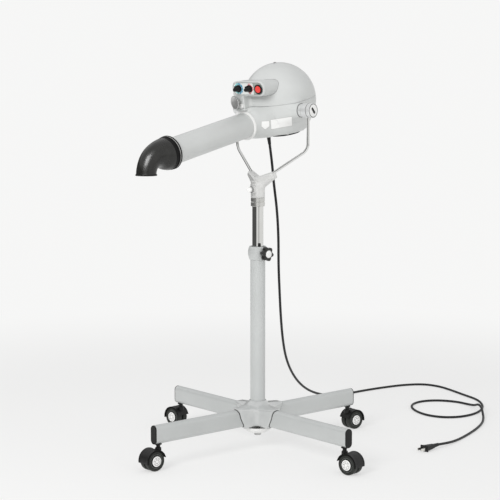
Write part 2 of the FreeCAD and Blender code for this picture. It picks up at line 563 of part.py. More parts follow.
# intake grille under the bowl
gr = Part.makeCylinder(43.5, 6.0, V(0, db, D("bowlFootZ") - 6.0), V(0, 0, 1))
gr = gr.makeFillet(1.2, [e for e in gr.Edges if abs(e.BoundBox.ZMin - D("bowlFootZ") + 6.0) < 0.01
                         and e.BoundBox.ZLength < 0.01])
gr = gr.cut(Part.makeCylinder(40.5, 4.0, V(0, db, D("bowlFootZ") - 4.0), V(0, 0, 1)))
slots = []
for k in range(18):
    s = Part.makeBox(27.0, 3.4, 4.4, V(12.0, -1.7, 0))
    s.rotate(V(0, 0, 0), V(0, 0, 1), 20.0 * k)
    s.translate(V(0, db, D("bowlFootZ") - 6.5))
    slots.append(s)
gr = gr.cut(Part.makeCompound(slots))
keep(raw("intake_grille", gr, HEAD), "intake_grille")

# motor, bracket, shaft, impeller
can = Part.makeCylinder(D("motorR"), 66.0, V(0, db, 0), V(0, 0, 1))
can = can.fuse(Part.makeCone(D("motorR"), 30.0, 8.0, V(0, db, 66), V(0, 0, 1)))
can = can.removeSplitter().cut(Part.makeCylinder(4.06, 68, V(0, db, -1), V(0, 0, 1)))
keep(raw("motor_can", can, HEAD), "motor_can")
br = Part.makeCylinder(85.4, 3.0, V(0, db, -9), V(0, 0, 1))
br = br.fuse(Part.makeCylinder(36.0, 6.0, V(0, db, -6), V(0, 0, 1)))
br = br.cut(Part.makeCylinder(28.0, 20, V(0, db, -12), V(0, 0, 1)))
br = br.cut(Part.makeCylinder(38.6, 40, V(tx, -30, tz), V(0, -1, 0)))
br = br.cut(Part.makeCylinder(17.4, 240, V(-120, 0, 0), V(1, 0, 0)))
br = sorted(br.removeSplitter().Solids, key=lambda s: s.Volume)[-1]
keep(raw("motor_bracket", br, HEAD), "motor_bracket")
keep(prim_cyl("motor_shaft", 4.0, 115.0), "motor_shaft")
PARTS[-1][0].Placement = HEAD.multiply(FreeCAD.Placement(V(0, db, -50), FreeCAD.Rotation()))
imp = Part.makeCylinder(D("fanR"), 2.0, V(0, 0, -18), V(0, 0, 1))
imp = imp.fuse(Part.makeCylinder(12.0, 26.0, V(0, 0, -43), V(0, 0, 1)))
low = Part.makeCylinder(D("fanR"), 2.0, V(0, 0, -46), V(0, 0, 1)).cut(
    Part.makeCylinder(40.0, 6.0, V(0, 0, -48), V(0, 0, 1)))
imp = imp.fuse(low)
for k in range(12):
    b = Part.makeBox(40.0, 1.8, 28.0, V(22.0, -0.9, -45.0))
    b.rotate(V(22, 0, 0), V(0, 0, 1), 24.0)
    b = b.common(Part.makeCylinder(D("fanR") - 1.0, 60, V(0, 0, -60), V(0, 0, 1)))
    b.rotate(V(0, 0, 0), V(0, 0, 1), 30.0 * k)
    imp = imp.fuse(b)
arm = Part.makeCylinder(24.0, 2.0, V(0, 0, -20), V(0, 0, 1))
imp = imp.fuse(arm).removeSplitter()
imp = imp.cut(Part.makeCylinder(4.0, 60, V(0, 0, -60), V(0, 0, 1)))
imp.translate(V(0, db, 0))
keep(raw("impeller", imp, HEAD), "impeller")

# heater in the start of the air tube
fr = Part.makeBox(40.0, 120.0, 1.2, V(tx - 20.0, -200.0, tz - 0.6))
fr = fr.fuse(Part.makeBox(1.2, 120.0, 40.0, V(tx - 0.6, -200.0, tz - 20.0)))
for y in (-83.0, -200.0):
    hoop = Part.makeCylinder(30.95, 3.0, V(tx, y + 3.0, tz), V(0, -1, 0)).cut(
        Part.makeCylinder(28.6, 6.0, V(tx, y + 4.0, tz), V(0, -1, 0)))
    fr = fr.fuse(hoop)
    fr = fr.fuse(Part.makeBox(58.0, 3.0, 1.2, V(tx - 29.0, y, tz - 0.6)))
    fr = fr.fuse(Part.makeBox(1.2, 3.0, 58.0, V(tx - 0.6, y, tz - 29.0)))
keep(raw("heater_frame", fr.removeSplitter(), HEAD), "heater_frame")
coils = [Part.makeTorus(21.45, 1.4, V(tx, -92.0 - 11.0 * k, tz), V(0, 1, 0)) for k in range(10)]
keep(raw("heater_coil", Part.makeCompound(coils), HEAD), "heater_coil")
# cord gland with its tapered strain relief, and the housing screws
GL = (-10.0, -13.0)
gland = Part.makeCylinder(6.4, 3.2, V(GL[0], GL[1], D("bowlFootZ") - 3.2), V(0, 0, 1))
gland = gland.fuse(Part.makeCone(4.3, 6.2, 22.0, V(GL[0], GL[1], D("bowlFootZ") - 24.0),
                                 V(0, 0, 1))).removeSplitter()
keep(raw("cord_gland", gland, HEAD), "cord_gland")


def screw_at(pos, way, r=3.4, t=1.8, pin=1.95, deep=7.0):
    s = Part.makeCylinder(r, t, V(*pos), V(*way))
    s = s.fuse(Part.makeCylinder(pin, deep, V(*pos), V(*way) * -1))
    return s.removeSplitter()


scr = [screw_at((0, db, sz + dr + 0.1), (0, 0, 1), deep=6.0, pin=1.9)]
for ang in (20, 140, 200, 320):
    a = math.radians(ang)
    scr.append(Part.makeCylinder(3.2, 1.8, V(51.6 * math.cos(a), db + 51.6 * math.sin(a),
                                             D("bowlFootZ")), V(0, 0, -1)))
scr.append(Part.makeCylinder(5.0, 2.4, V(-28.0, -fy, 27.0), V(0, -1, 0)))
keep(raw("housing_screws", Part.makeCompound(scr), HEAD), "housing_screws")

# ---------------------------------------------------------------- elbow nozzle
th0 = math.radians(D("tiltRest"))


def world(s, h, x=None):
    """Point of the head's level frame (forward s, height h) in the object's frame."""
    return V(tx if x is None else x, py - s * math.cos(th0) - h * math.sin(th0),
             pz - s * math.sin(th0) + h * math.cos(th0))


def heading(deg):
    """Direction that dips deg below the tube's axis."""
    a = th0 + math.radians(deg)
    return V(0, -math.cos(a), -math.sin(a))


# sections of the bend in the plane of its axis: inner point, outer point (y, z)
SECTIONS = [((-292.0, 729.6), (-308.1, 806.8)), ((-306.0, 731.5), (-322.6, 802.4)),
            ((-316.5, 736.0), (-340.2, 794.8)), ((-324.0, 738.0), (-357.2, 784.0)),
            ((-330.0, 737.5), (-371.8, 768.8)), ((-335.0, 734.0), (-381.5, 750.6)),
            ((-338.0, 728.5), (-386.2, 734.2)), ((-339.0, 720.6), (-387.2, 720.6))]
OUT_C = V(tx, (SECTIONS[-1][0][0] + SECTIONS[-1][1][0]) / 2, SECTIONS[-1][0][1])


def elbow(delta, first=0, tail=0.0):
    rings = []
    for (iy, iz), (oy, oz) in SECTIONS[first:]:
        c = V(tx, (iy + oy) / 2, (iz + oz) / 2)
        d = V(0, oy - iy, oz - iz)
        normal = V(1, 0, 0).cross(d).normalize()
        rings.append(Part.Wire(Part.makeCircle(d.Length / 2 - delta, c, normal)))
    return Part.makeLoft(rings, True, False)


fwd = heading(0)
noz = elbow(0.0)
noz = noz.fuse(Part.makeCylinder(39.4, 13.0, world(352.0, tz), fwd))
noz = noz.fuse(Part.makeCylinder(41.6, 3.4, world(351.6, tz), fwd)).removeSplitter()
hollow = elbow(2.4)
hollow = hollow.fuse(Part.makeCylinder(37.0, 9.0, world(357.6, tz), fwd))
hollow = hollow.fuse(Part.makeCylinder(22.4, 16.0, OUT_C + V(0, 0, 5.0), V(0, 0, -1)))
hollow = hollow.fuse(Part.makeCylinder(32.58, 12.0, world(350.0, tz), fwd))
noz = noz.cut(hollow)
noz = sorted(noz.Solids, key=lambda s: s.Volume)[-1]
keep(raw("elbow_nozzle", noz), "elbow_nozzle")
rim = Part.makeCylinder(42.6, 3.0, world(348.4, tz), fwd)
rim = rim.makeFillet(1.0, [e for e in rim.Edges if e.Curve.TypeId == "Part::GeomCircle"])
rim = rim.cut(Part.makeCylinder(32.58, 8.0, world(346.0, tz), fwd))
keep(raw("nozzle_rim", rim), "nozzle_rim")

# ---------------------------------------------------------------- casters
TRAIL = {"front_left": -8.4, "front_right": 90.5, "back_right": 168.0, "back_left": 267.0}
wr, tr, ww = D("wheelR"), D("trail"), D("wheelWide")


def caster_hood():
    skin = Part.makeCylinder(28.0, 37.2, V(-18.6, -tr, wr), V(1, 0, 0))
    skin = skin.cut(Part.makeCylinder(26.2, 60.0, V(-30.0, -tr, wr), V(1, 0, 0)))
    keepout = poly_prism([(-40, -70, 15.1), (-40, 30, 36.1), (-40, 30, 80), (-40, -70, 80)], (80, 0, 0))
    skin = skin.common(keepout)
    web = Part.makeCylinder(26.7, 4.4, V(-2.2, -tr, wr), V(1, 0, 0)).common(keepout)
    web = web.fuse(Part.makeCylinder(9.0, 4.4, V(-2.2, -tr, wr), V(1, 0, 0)))
    h = skin.fuse(web)
    h = h.fuse(Part.makeCylinder(9.0, 17.0, V(0, 0, 39.0), V(0, 0, 1)).cut(
        Part.makeCylinder(26.2, 60.0, V(-30.0, -tr, wr), V(1, 0, 0))))
    h = h.fuse(Part.makeCylinder(5.5, 44.0, V(0, 0, 50.0), V(0, 0, 1)))
    h = h.fuse(Part.makeCylinder(3.0, 33.2, V(-16.6, -tr, wr), V(1, 0, 0)))
    return sorted(h.removeSplitter().Solids, key=lambda s: s.Volume)[-1]


def caster_wheel(sgn):
    w = Part.makeCylinder(wr, ww, V(2.9, -tr, wr), V(1, 0, 0))
    w = w.makeFillet(2.2, [e for e in w.Edges if e.BoundBox.XLength < 0.01])
    w = w.fuse(Part.makeCylinder(13.0, 1.6, V(2.9 + ww, -tr, wr), V(1, 0, 0))).removeSplitter()
    w = w.cut(Part.makeCylinder(3.06, 16.9 - 2.8, V(2.8, -tr, wr), V(1, 0, 0)))
    return w if sgn > 0 else mirror_x(w)


hood = caster_hood()
pair = Part.makeCompound([caster_wheel(1), caster_wheel(-1)])
for tag, ang in LEGS:
    a = math.radians(ang + D("legYaw"))
    foot = V(D("stemReach") * math.sin(a), -D("stemReach") * math.cos(a), 0)
    pl = FreeCAD.Placement(foot, FreeCAD.Rotation(V(0, 0, 1), TRAIL[tag]))
    keep(raw("caster_hood_" + tag, hood, pl), "caster_hood_" + tag)
    keep(raw("caster_wheels_" + tag, pair, pl), "caster_wheels_" + tag)

# ---------------------------------------------------------------- cord, plug
cr = D("cordR")
gend = world(-GL[1], D("bowlFootZ") - 24.0, GL[0])
gdir = V(0, math.sin(th0), -math.cos(th0))
HANG = [(gend.x, gend.y, gend.z), (gend.x, gend.y + gdir.y * 46, gend.z + gdir.z * 46),
        (-8, 72, 681), (-5, 82, 612), (-8, 92, 538), (-18, 104, 464), (-34, 128, 390),
        (-58, 162, 318), (-86, 204, 248), (-118, 256, 186), (-143, 311, 134), (-166, 373, 90),
        (-188, 441, 55), (-206, 515, 28), (-217, 590, 10)]
FLOOR = [(-214, 664, 3.5), (-203, 738, 3.5), (-184, 812, 3.5), (-160, 880, 3.5), (-120, 931, 3.5),
         (-65, 935, 3.5), (-8, 913, 3.5), (60, 880, 3.5), (124, 852, 3.5), (172, 806, 3.5),
         (207, 750, 3.5), (223, 688, 3.5), (214, 628, 3.5), (180, 590, 3.5), (132, 582, 3.5),
         (84, 600, 3.5), (42, 632, 3.5), (15, 676, 3.5), (14, 726, 3.5), (44, 767, 3.5),
         (96, 786, 3.5), (143, 776, 4.0), (176, 757, 9.0), (197, 743, 18.0), (224, 717, 18.0),
         (244, 692, 9.0), (270, 655, 3.6), (298, 604, 3.5), (319, 547, 3.5), (335, 488, 3.5),
         (347, 430, 3.5), (355, 382, 4.5), (358, 338, 7.0), (354, 302, 9.5)]
ROUTE = HANG + FLOOR


def run_and_arc(points):
    """Straight runs joined by tangent arcs; prints each arc's radius."""
    pts = [V(*p) for p in points]
    edges, radii = [], []
    last = pts[0]
    for i in range(1, len(pts) - 1):
        a, b, c = pts[i - 1], pts[i], pts[i + 1]
        d1, d2 = (b - a), (c - b)
        shorter = min(d1.Length, d2.Length)
        d1 = V(d1).normalize()
        d2 = V(d2).normalize()
        turn = d1.getAngle(d2)
        t = 0.45 * shorter
        r = t / math.tan(turn / 2)
        radii.append(r)
        p, q = b - d1 * t, b + d2 * t
        bis = (d2 - d1).normalize()
        centre = b + bis * (r / math.cos(turn / 2))
        edges.append(Part.LineSegment(last, p).toShape())
        edges.append(Part.Arc(p, centre - bis * r, q).toShape())
        last = q
    edges.append(Part.LineSegment(last, pts[-1]).toShape())
    return edges, radii


edges, radii = run_and_arc(ROUTE)
print("cord arc radii mm:", [round(r) for r in radii])
print("cord runs mm:", [round((V(*b) - V(*a)).Length) for a, b in zip(ROUTE, ROUTE[1:])])
# the hanging stretch ends in the middle of a straight run, where the floor stretch begins
cutat = 2 * (len(HANG) - 1)
split = edges[cutat]
p0, p1 = split.Vertexes[0].Point, split.Vertexes[1].Point
mid = (p0 + p1) * 0.5
hang_edges = edges[:cutat] + [Part.LineSegment(p0, mid).toShape()]
floor_edges = [Part.LineSegment(mid, p1).toShape()] + edges[cutat + 1:]


def cord_tube(chain, label):
    path = Part.Wire(chain)
    first = chain[0]
    start = first.Vertexes[0].Point
    d = first.tangentAt(first.FirstParameter)
    shell = Part.BRepOffsetAPI.MakePipeShell(path)
    shell.add(Part.Wire(Part.makeCircle(cr, start, d)))
    shell.build()
    shell.makeSolid()
    s = shell.shape()
    print(label, "length %.0f mm, volume ratio %.4f" % (path.Length, s.Volume / (math.pi * cr * cr * path.Length)))
    return s


keep(raw("hanging_cord", cord_tube(hang_edges, "hanging cord")), "hanging_cord")
keep(raw("floor_cord", cord_tube(floor_edges, "floor cord")), "floor_cord")
pend = V(*ROUTE[-1])
pdir = (pend - V(*ROUTE[-2])).normalize()
flat = V(pdir.x, pdir.y, 0).normalize()
yaw = math.degrees(math.atan2(flat.x, -flat.y))
# plug, built along -Y from its cord end at the origin
relief = Part.makeCone(4.2, 5.6, 22.0, V(0, 0, 0), V(0, -1, 0))


def plug_section(y, wide, tall):
    w, t = wide / 2, tall / 2
    return Part.makePolygon([V(-w, y, -t), V(w, y, -t), V(w, y, t), V(-w, y, t), V(-w, y, -t)])


bodyp = Part.makeLoft([plug_section(-20.0, 13.0, 10.6), plug_section(-53.0, 21.6, 14.0)], True, True)
bodyp = bodyp.makeFillet(3.4, [e for e in bodyp.Edges if e.BoundBox.YLength > 20])
nose = Part.makeBox(25.0, 4.0, 16.0, V(-12.5, -56.0, -8.0))
nose = nose.makeFillet(1.6, nose.Edges)
plug = relief.fuse(bodyp).fuse(nose).removeSplitter()
pins = []
for sx in (-6.35, 6.35):
    pin = Part.makeBox(1.5, 17.5, 6.3, V(sx - 0.75, -73.5, -3.15))
    pins.append(pin)
    plug = plug.cut(Part.makeBox(1.5, 8.0, 6.3, V(sx - 0.75, -64.0, -3.15)))
dip = math.degrees(math.asin((pend.z - 8.4) / 56.0))
PLUG = FreeCAD.Placement(pend, FreeCAD.Rotation(V(0, 0, 1), yaw).multiply(
    FreeCAD.Rotation(V(1, 0, 0), dip)))
keep(raw("plug", plug, PLUG), "plug")
pins = [p.fuse(Part.makeBox(1.5, 8.0, 6.3, V(p.BoundBox.XMin, -64.0, -3.15))).removeSplitter() for p in pins]
keep(raw("plug_pins", Part.makeCompound(pins), PLUG), "plug_pins")

# ---------------------------------------------------------------- check and write
doc.recompute()
bad = []
for o in doc.Objects:
    if any(word in ("Invalid", "Error") for word in o.State):
        bad.append("%s: %s" % (o.Label, o.State))
for o, node in PARTS:
    if o.Shape.isNull() or not o.Shape.isValid() or not o.Shape.Solids:
        bad.append("%s: null, invalid or without a solid" % node)
if bad:
    raise RuntimeError("; ".join(bad))
if len(PARTS) > 60 or len({node for _, node in PARTS}) != len(PARTS):
    raise RuntimeError("%d nodes" % len(PARTS))
os.makedirs("parts", exist_ok=True)
for o, node in PARTS:
    o.Shape.exportStep("parts/%s.step" % node)
print(len(PARTS), "nodes written")
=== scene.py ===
import bpy, bmesh, math
import numpy as np
from mathutils import Vector, Matrix
from mathutils.bvhtree import BVHTree


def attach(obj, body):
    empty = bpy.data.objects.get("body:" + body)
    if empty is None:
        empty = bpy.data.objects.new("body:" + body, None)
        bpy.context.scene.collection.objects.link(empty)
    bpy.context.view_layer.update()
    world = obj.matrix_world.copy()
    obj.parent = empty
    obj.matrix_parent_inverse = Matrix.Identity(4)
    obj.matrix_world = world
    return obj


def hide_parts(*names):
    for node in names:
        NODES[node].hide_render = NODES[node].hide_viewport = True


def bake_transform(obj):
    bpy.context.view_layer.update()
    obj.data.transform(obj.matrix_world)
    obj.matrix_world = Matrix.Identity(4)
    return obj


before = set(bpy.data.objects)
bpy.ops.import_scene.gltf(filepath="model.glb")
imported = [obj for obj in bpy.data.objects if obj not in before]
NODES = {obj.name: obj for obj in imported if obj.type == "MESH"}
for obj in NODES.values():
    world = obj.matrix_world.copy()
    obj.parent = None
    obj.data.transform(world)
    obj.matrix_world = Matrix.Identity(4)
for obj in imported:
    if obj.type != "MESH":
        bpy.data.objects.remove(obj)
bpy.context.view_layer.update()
MM = 0.001
SCENE = bpy.context.scene

# frames that the pieces are built in: the base is turned on the floor, the head tips nose-down
YAW = math.radians(-8.6)
TILT = math.radians(11.8)
BASE = Matrix.Rotation(YAW, 4, "Z")
HEAD = Matrix.Translation((0, 0.053, 0.868)) @ Matrix.Rotation(TILT, 4, "X")
TX, TZ = -36.0, -25.5          # the air tube's axis in the head's frame, mm

# ------------------------------------------------------------------ camera, light, floor
cam_data = bpy.data.cameras.new("camera")
cam = bpy.data.objects.new("camera", cam_data)
SCENE.collection.objects.link(cam)
cam_data.sensor_width = 36.0
cam_data.lens = 108.0
cam_data.clip_start, cam_data.clip_end = 0.05, 60.0
cam.location = (2.45816, -2.87814, 0.960)
cam.rotation_euler = (math.radians(90.0 - 6.72), 0.0, math.radians(40.8))
SCENE.camera = cam
SCENE.view_settings.view_transform = "Standard"
SCENE.view_settings.look = "None"


def link(obj):
    SCENE.collection.objects.link(obj)
    return obj


def new_mat(name):
    m = bpy.data.materials.new(name)
    m.use_nodes = True
    nt = m.node_tree
    return m, nt, nt.nodes["Principled BSDF"]


world = bpy.data.worlds.new("studio")
SCENE.world = world
world.use_nodes = True
wn, wl = world.node_tree.nodes, world.node_tree.links
wn.clear()
w_out = wn.new("ShaderNodeOutputWorld")
w_mix = wn.new("ShaderNodeMixShader")
w_path = wn.new("ShaderNodeLightPath")
w_cam = wn.new("ShaderNodeBackground")
w_cam.inputs[0].default_value = (0.925, 0.925, 0.92, 1)
w_cam.inputs[1].default_value = 1.0
w_env = wn.new("ShaderNodeBackground")
w_tc = wn.new("ShaderNodeTexCoord")
w_sep = wn.new("ShaderNodeSeparateXYZ")
w_ramp = wn.new("ShaderNodeValToRGB")
w_map = wn.new("ShaderNodeMapRange")
wl.new(w_tc.outputs["Generated"], w_sep.inputs[0])
wl.new(w_sep.outputs["Z"], w_map.inputs[0])
w_map.inputs[1].default_value = -0.2
w_map.inputs[2].default_value = 1.0
wl.new(w_map.outputs[0], w_ramp.inputs[0])
er = w_ramp.color_ramp
er.elements[0].position, er.elements[0].color = 0.0, (0.66, 0.66, 0.65, 1)
er.elements[1].position, er.elements[1].color = 1.0, (0.66, 0.66, 0.665, 1)
e = er.elements.new(0.25); e.color = (0.98, 0.98, 0.97, 1)
e = er.elements.new(0.55); e.color = (0.92, 0.92, 0.92, 1)
# black cards beside the set: a wide one to the front left and a thin one to the right of the camera,
# seen only in reflections
w_atan = wn.new("ShaderNodeMath"); w_atan.operation = "ARCTAN2"
w_neg = wn.new("ShaderNodeMath"); w_neg.operation = "MULTIPLY"
w_neg.inputs[1].default_value = -1.0
wl.new(w_sep.outputs["Y"], w_neg.inputs[0])
wl.new(w_sep.outputs["X"], w_atan.inputs[0])
wl.new(w_neg.outputs[0], w_atan.inputs[1])


def card(lo, hi, soft, z_lo, z_hi, dark):
    """1 outside the sector between azimuths lo and hi, dark inside it, below height z_hi."""
    def step(src, a, b, up):
        m = wn.new("ShaderNodeMapRange")
        m.interpolation_type = "SMOOTHSTEP"
        wl.new(src, m.inputs[0])
        m.inputs[1].default_value, m.inputs[2].default_value = a, b
        m.inputs[3].default_value, m.inputs[4].default_value = (0.0, 1.0) if up else (1.0, 0.0)
        return m.outputs[0]

    def times(x, y):
        m = wn.new("ShaderNodeMath"); m.operation = "MULTIPLY"
        wl.new(x, m.inputs[0]); wl.new(y, m.inputs[1])
        return m.outputs[0]
    r = math.radians
    inside = times(step(w_atan.outputs[0], r(lo - soft), r(lo + soft), True),
                   step(w_atan.outputs[0], r(hi - soft), r(hi + soft), False))
    inside = times(inside, times(step(w_sep.outputs["Z"], z_lo - 0.06, z_lo, True),
                                 step(w_sep.outputs["Z"], z_hi, z_hi + 0.12, False)))
    inside = times(inside, w_path.outputs["Is Glossy Ray"])
    m = wn.new("ShaderNodeMapRange")
    wl.new(inside, m.inputs[0])
    m.inputs[3].default_value, m.inputs[4].default_value = 1.0, dark
    return m.outputs[0]


w_all = wn.new("ShaderNodeMath"); w_all.operation = "MULTIPLY"
wl.new(card(-150, 12, 5, -0.27, 0.30, 0.11), w_all.inputs[0])
wl.new(card(57, 67, 2, -0.27, 0.30, 0.18), w_all.inputs[1])
w_mul = wn.new("ShaderNodeMix"); w_mul.data_type = "RGBA"; w_mul.blend_type = "MULTIPLY"
w_mul.inputs[0].default_value = 1.0
wl.new(w_ramp.outputs[0], w_mul.inputs[6])
wl.new(w_all.outputs[0], w_mul.inputs[7])
wl.new(w_mul.outputs[2], w_env.inputs[0])
w_str = wn.new("ShaderNodeMapRange")
wl.new(w_path.outputs["Is Glossy Ray"], w_str.inputs[0])
w_str.inputs[3].default_value, w_str.inputs[4].default_value = 0.80, 1.0
wl.new(w_str.outputs[0], w_env.inputs[1])
wl.new(w_path.outputs["Is Camera Ray"], w_mix.inputs[0])
wl.new(w_env.outputs[0], w_mix.inputs[1])
wl.new(w_cam.outputs[0], w_mix.inputs[2])
wl.new(w_mix.outputs[0], w_out.inputs[0])


def area(name, loc, target, size, power, colour=(1, 1, 1)):
    d = bpy.data.lights.new(name, "AREA")
    d.shape = "RECTANGLE"
    d.size, d.size_y = size
    d.energy = power
    d.color = colour
    o = bpy.data.objects.new(name, d)
    link(o)
    o.location = loc
    o.rotation_euler = (Vector(target) - Vector(loc)).to_track_quat("-Z", "Y").to_euler()
    return o


key = area("key", (0.5, -3.15, 2.15), (0, 0, 0.75), (1.4, 1.2), 57.0)
side = area("side", (3.2, -0.6, 1.5), (0, 0, 0.7), (1.0, 1.6), 8.0)
area("top", (0.2, 0.3, 3.2), (0, 0, 0.5), (2.4, 2.4), 1.5)
key.visible_glossy = side.visible_glossy = False
# a small soft box that only the black nozzle mirrors
box_light = area("nozzle_box", (0.675, -1.686, 2.096), (-0.023, -0.374, 0.758), (1.1, 1.1), 52.0)
box_light.visible_diffuse = False
lit = bpy.data.collections.new("lit_by_nozzle_box")
box_light.light_linking.receiver_collection = lit
# and a wide one that lightens the painted head a little, which no piece mirrors
head_box = area("head_box", (1.5, -2.75, 1.9), (0.02, 0.02, 0.85), (0.9, 1.2), 10.0)
head_box.visible_glossy = False
head_lit = bpy.data.collections.new("lit_by_head_box")
head_box.light_linking.receiver_collection = head_lit

bm = bmesh.new()
bmesh.ops.create_circle(bm, cap_ends=True, segments=96, radius=3.0)
me = bpy.data.meshes.new("floor")
bm.to_mesh(me)
bm.free()
floor = link(bpy.data.objects.new("floor", me))
fm, nt, bs = new_mat("floor_paper")
bs.inputs["Roughness"].default_value = 0.9
bs.inputs["Specular IOR Level"].default_value = 0.1
bs.inputs["Base Color"].default_value = (0.93, 0.93, 0.925, 1)
tc = nt.nodes.new("ShaderNodeTexCoord")
ln = nt.nodes.new("ShaderNodeVectorMath"); ln.operation = "LENGTH"
mr = nt.nodes.new("ShaderNodeMapRange"); mr.interpolation_type = "SMOOTHSTEP"
em = nt.nodes.new("ShaderNodeEmission")
em.inputs[0].default_value = (0.925, 0.925, 0.92, 1)
mx = nt.nodes.new("ShaderNodeMixShader")
nt.links.new(tc.outputs["Object"], ln.inputs[0])
nt.links.new(ln.outputs["Value"], mr.inputs[0])
mr.inputs[1].default_value = 0.9
mr.inputs[2].default_value = 2.4
mr.inputs[3].default_value = 0.56
nt.links.new(mr.outputs[0], mx.inputs[0])
nt.links.new(bs.outputs[0], mx.inputs[1])
nt.links.new(em.outputs[0], mx.inputs[2])
nt.links.new(mx.outputs[0], nt.nodes["Material Output"].inputs[0])
floor.data.materials.append(fm)

# ------------------------------------------------------------------ materials


def add_noise(nt, scale, detail=3.0, rough=0.6, coord="Object"):
    tc = nt.nodes.new("ShaderNodeTexCoord")
    n = nt.nodes.new("ShaderNodeTexNoise")
    n.inputs["Scale"].default_value = scale
    n.inputs["Detail"].default_value = detail
    n.inputs["Roughness"].default_value = rough
    nt.links.new(tc.outputs[coord], n.inputs["Vector"])
    return n


def spread(nt, src, lo, hi, frm=(0.3, 0.7)):
    m = nt.nodes.new("ShaderNodeMapRange")
    nt.links.new(src, m.inputs[0])
    m.inputs[1].default_value, m.inputs[2].default_value = frm
    m.inputs[3].default_value, m.inputs[4].default_value = lo, hi
    return m.outputs[0]


def tint(nt, fac, a, b):
    mx = nt.nodes.new("ShaderNodeMix")
    mx.data_type = "RGBA"
    mx.inputs[6].default_value = (*a, 1)
    mx.inputs[7].default_value = (*b, 1)
    nt.links.new(fac, mx.inputs[0])
    return mx.outputs[2]


def bump(nt, bs, src, strength, distance):
    b = nt.nodes.new("ShaderNodeBump")
    b.inputs["Strength"].default_value = strength
    b.inputs["Distance"].default_value = distance
    nt.links.new(src, b.inputs["Height"])
    nt.links.new(b.outputs[0], bs.inputs["Normal"])
    return b


def finish_mat(name, a, b, metallic, rough, tone=14.0, grain=900.0, strength=0.12,
               distance=0.0002, coat=0.0, coat_rough=0.1, spec=0.5, detail=3.0):
    """A finish whose colour drifts between a and b, whose roughness is uneven, with a fine grain."""
    m, nt, bs = new_mat(name)
    slow = add_noise(nt, tone, 4.0)
    fine = add_noise(nt, grain, detail)
    nt.links.new(tint(nt, spread(nt, slow.outputs[0], 0, 1), a, b), bs.inputs["Base Color"])
    nt.links.new(spread(nt, fine.outputs[0], rough[0], rough[1]), bs.inputs["Roughness"])
    bs.inputs["Metallic"].default_value = metallic
    bs.inputs["Specular IOR Level"].default_value = spec
    bs.inputs["Coat Weight"].default_value = coat
    bs.inputs["Coat Roughness"].default_value = coat_rough
    bump(nt, bs, fine.outputs[0], strength, distance)
    return m


M = {}
M["silver"] = finish_mat("silver_paint", (0.585, 0.598, 0.59), (0.63, 0.643, 0.635), 0.20, (0.42, 0.52),
                         tone=9.0, grain=2200.0, strength=0.10, distance=0.00006, coat=0.2, coat_rough=0.35)
M["leg"] = finish_mat("silver_leg_paint", (0.52, 0.535, 0.53), (0.575, 0.59, 0.585), 0.25, (0.42, 0.52),
                      tone=7.0, grain=2200.0, strength=0.10, distance=0.00006, coat=0.12, coat_rough=0.35)
M["cast"] = finish_mat("silver_cast", (0.66, 0.67, 0.67), (0.74, 0.75, 0.745), 0.4, (0.34, 0.48),
                       tone=30.0, grain=700.0, strength=0.16, distance=0.00015)
M["chrome"] = finish_mat("chrome", (0.80, 0.80, 0.78), (0.86, 0.86, 0.85), 1.0, (0.03, 0.07),
                         tone=20.0, grain=400.0, strength=0.03, distance=0.00003)
M["rodchrome"] = finish_mat("rod_plating", (0.72, 0.72, 0.71), (0.80, 0.80, 0.79), 1.0, (0.10, 0.17),
                            tone=30.0, grain=500.0, strength=0.05, distance=0.00004)
M["steel"] = finish_mat("plain_steel", (0.45, 0.45, 0.45), (0.58, 0.58, 0.57), 1.0, (0.25, 0.42),
                        tone=40.0, grain=600.0, strength=0.12, distance=0.0001)
M["black"] = finish_mat("black_moulding", (0.007, 0.007, 0.007), (0.013, 0.013, 0.013), 0.0, (0.40, 0.55),
                        tone=50.0, grain=1500.0, strength=0.2, distance=0.00012, spec=0.28)
M["gloss"] = finish_mat("black_gloss_moulding", (0.006, 0.006, 0.005), (0.015, 0.015, 0.013), 0.0, (0.25, 0.34),
                        tone=60.0, grain=500.0, strength=0.07, distance=0.0003, spec=0.5)
M["wheel"] = finish_mat("wheel_nylon", (0.018, 0.020, 0.018), (0.036, 0.038, 0.035), 0.0, (0.42, 0.56),
                        tone=80.0, grain=1200.0, strength=0.15, distance=0.0001, spec=0.22)
M["white"] = finish_mat("white_moulding", (0.78, 0.78, 0.77), (0.85, 0.85, 0.84), 0.0, (0.28, 0.4),
                        tone=80.0, grain=900.0, strength=0.06, distance=0.00005)
M["grey"] = finish_mat("grey_moulding", (0.30, 0.31, 0.31), (0.38, 0.38, 0.38), 0.0, (0.4, 0.55))
M["red"] = finish_mat("red_button", (0.72, 0.025, 0.02), (0.85, 0.05, 0.035), 0.0, (0.16, 0.26),
                      tone=90.0, grain=700.0, strength=0.05, distance=0.00005, coat=0.5)
M["cord"] = finish_mat("cord_sheath", (0.010, 0.010, 0.0105), (0.018, 0.018, 0.019), 0.0, (0.42, 0.58),
                       tone=45.0, grain=1400.0, strength=0.2, distance=0.00012, spec=0.3)
M["brass"] = finish_mat("plated_brass", (0.62, 0.55, 0.38), (0.72, 0.64, 0.45), 1.0, (0.2, 0.35), tone=90.0)
M["coil"] = finish_mat("resistance_wire", (0.30, 0.25, 0.22), (0.42, 0.36, 0.30), 1.0, (0.3, 0.5))
M["mark"] = finish_mat("black_mark", (0.008, 0.008, 0.008), (0.014, 0.014, 0.014), 0.0, (0.4, 0.5))
M["border"] = finish_mat("panel_border", (0.10, 0.11, 0.10), (0.16, 0.17, 0.16), 0.0, (0.35, 0.5), tone=90.0)
M["palefield"] = finish_mat("panel_pale", (0.70, 0.72, 0.71), (0.80, 0.82, 0.80), 0.0, (0.3, 0.42), tone=60.0)
M["greyfield"] = finish_mat("panel_grey", (0.31, 0.35, 0.32), (0.42, 0.45, 0.42), 0.1, (0.3, 0.42), tone=60.0)
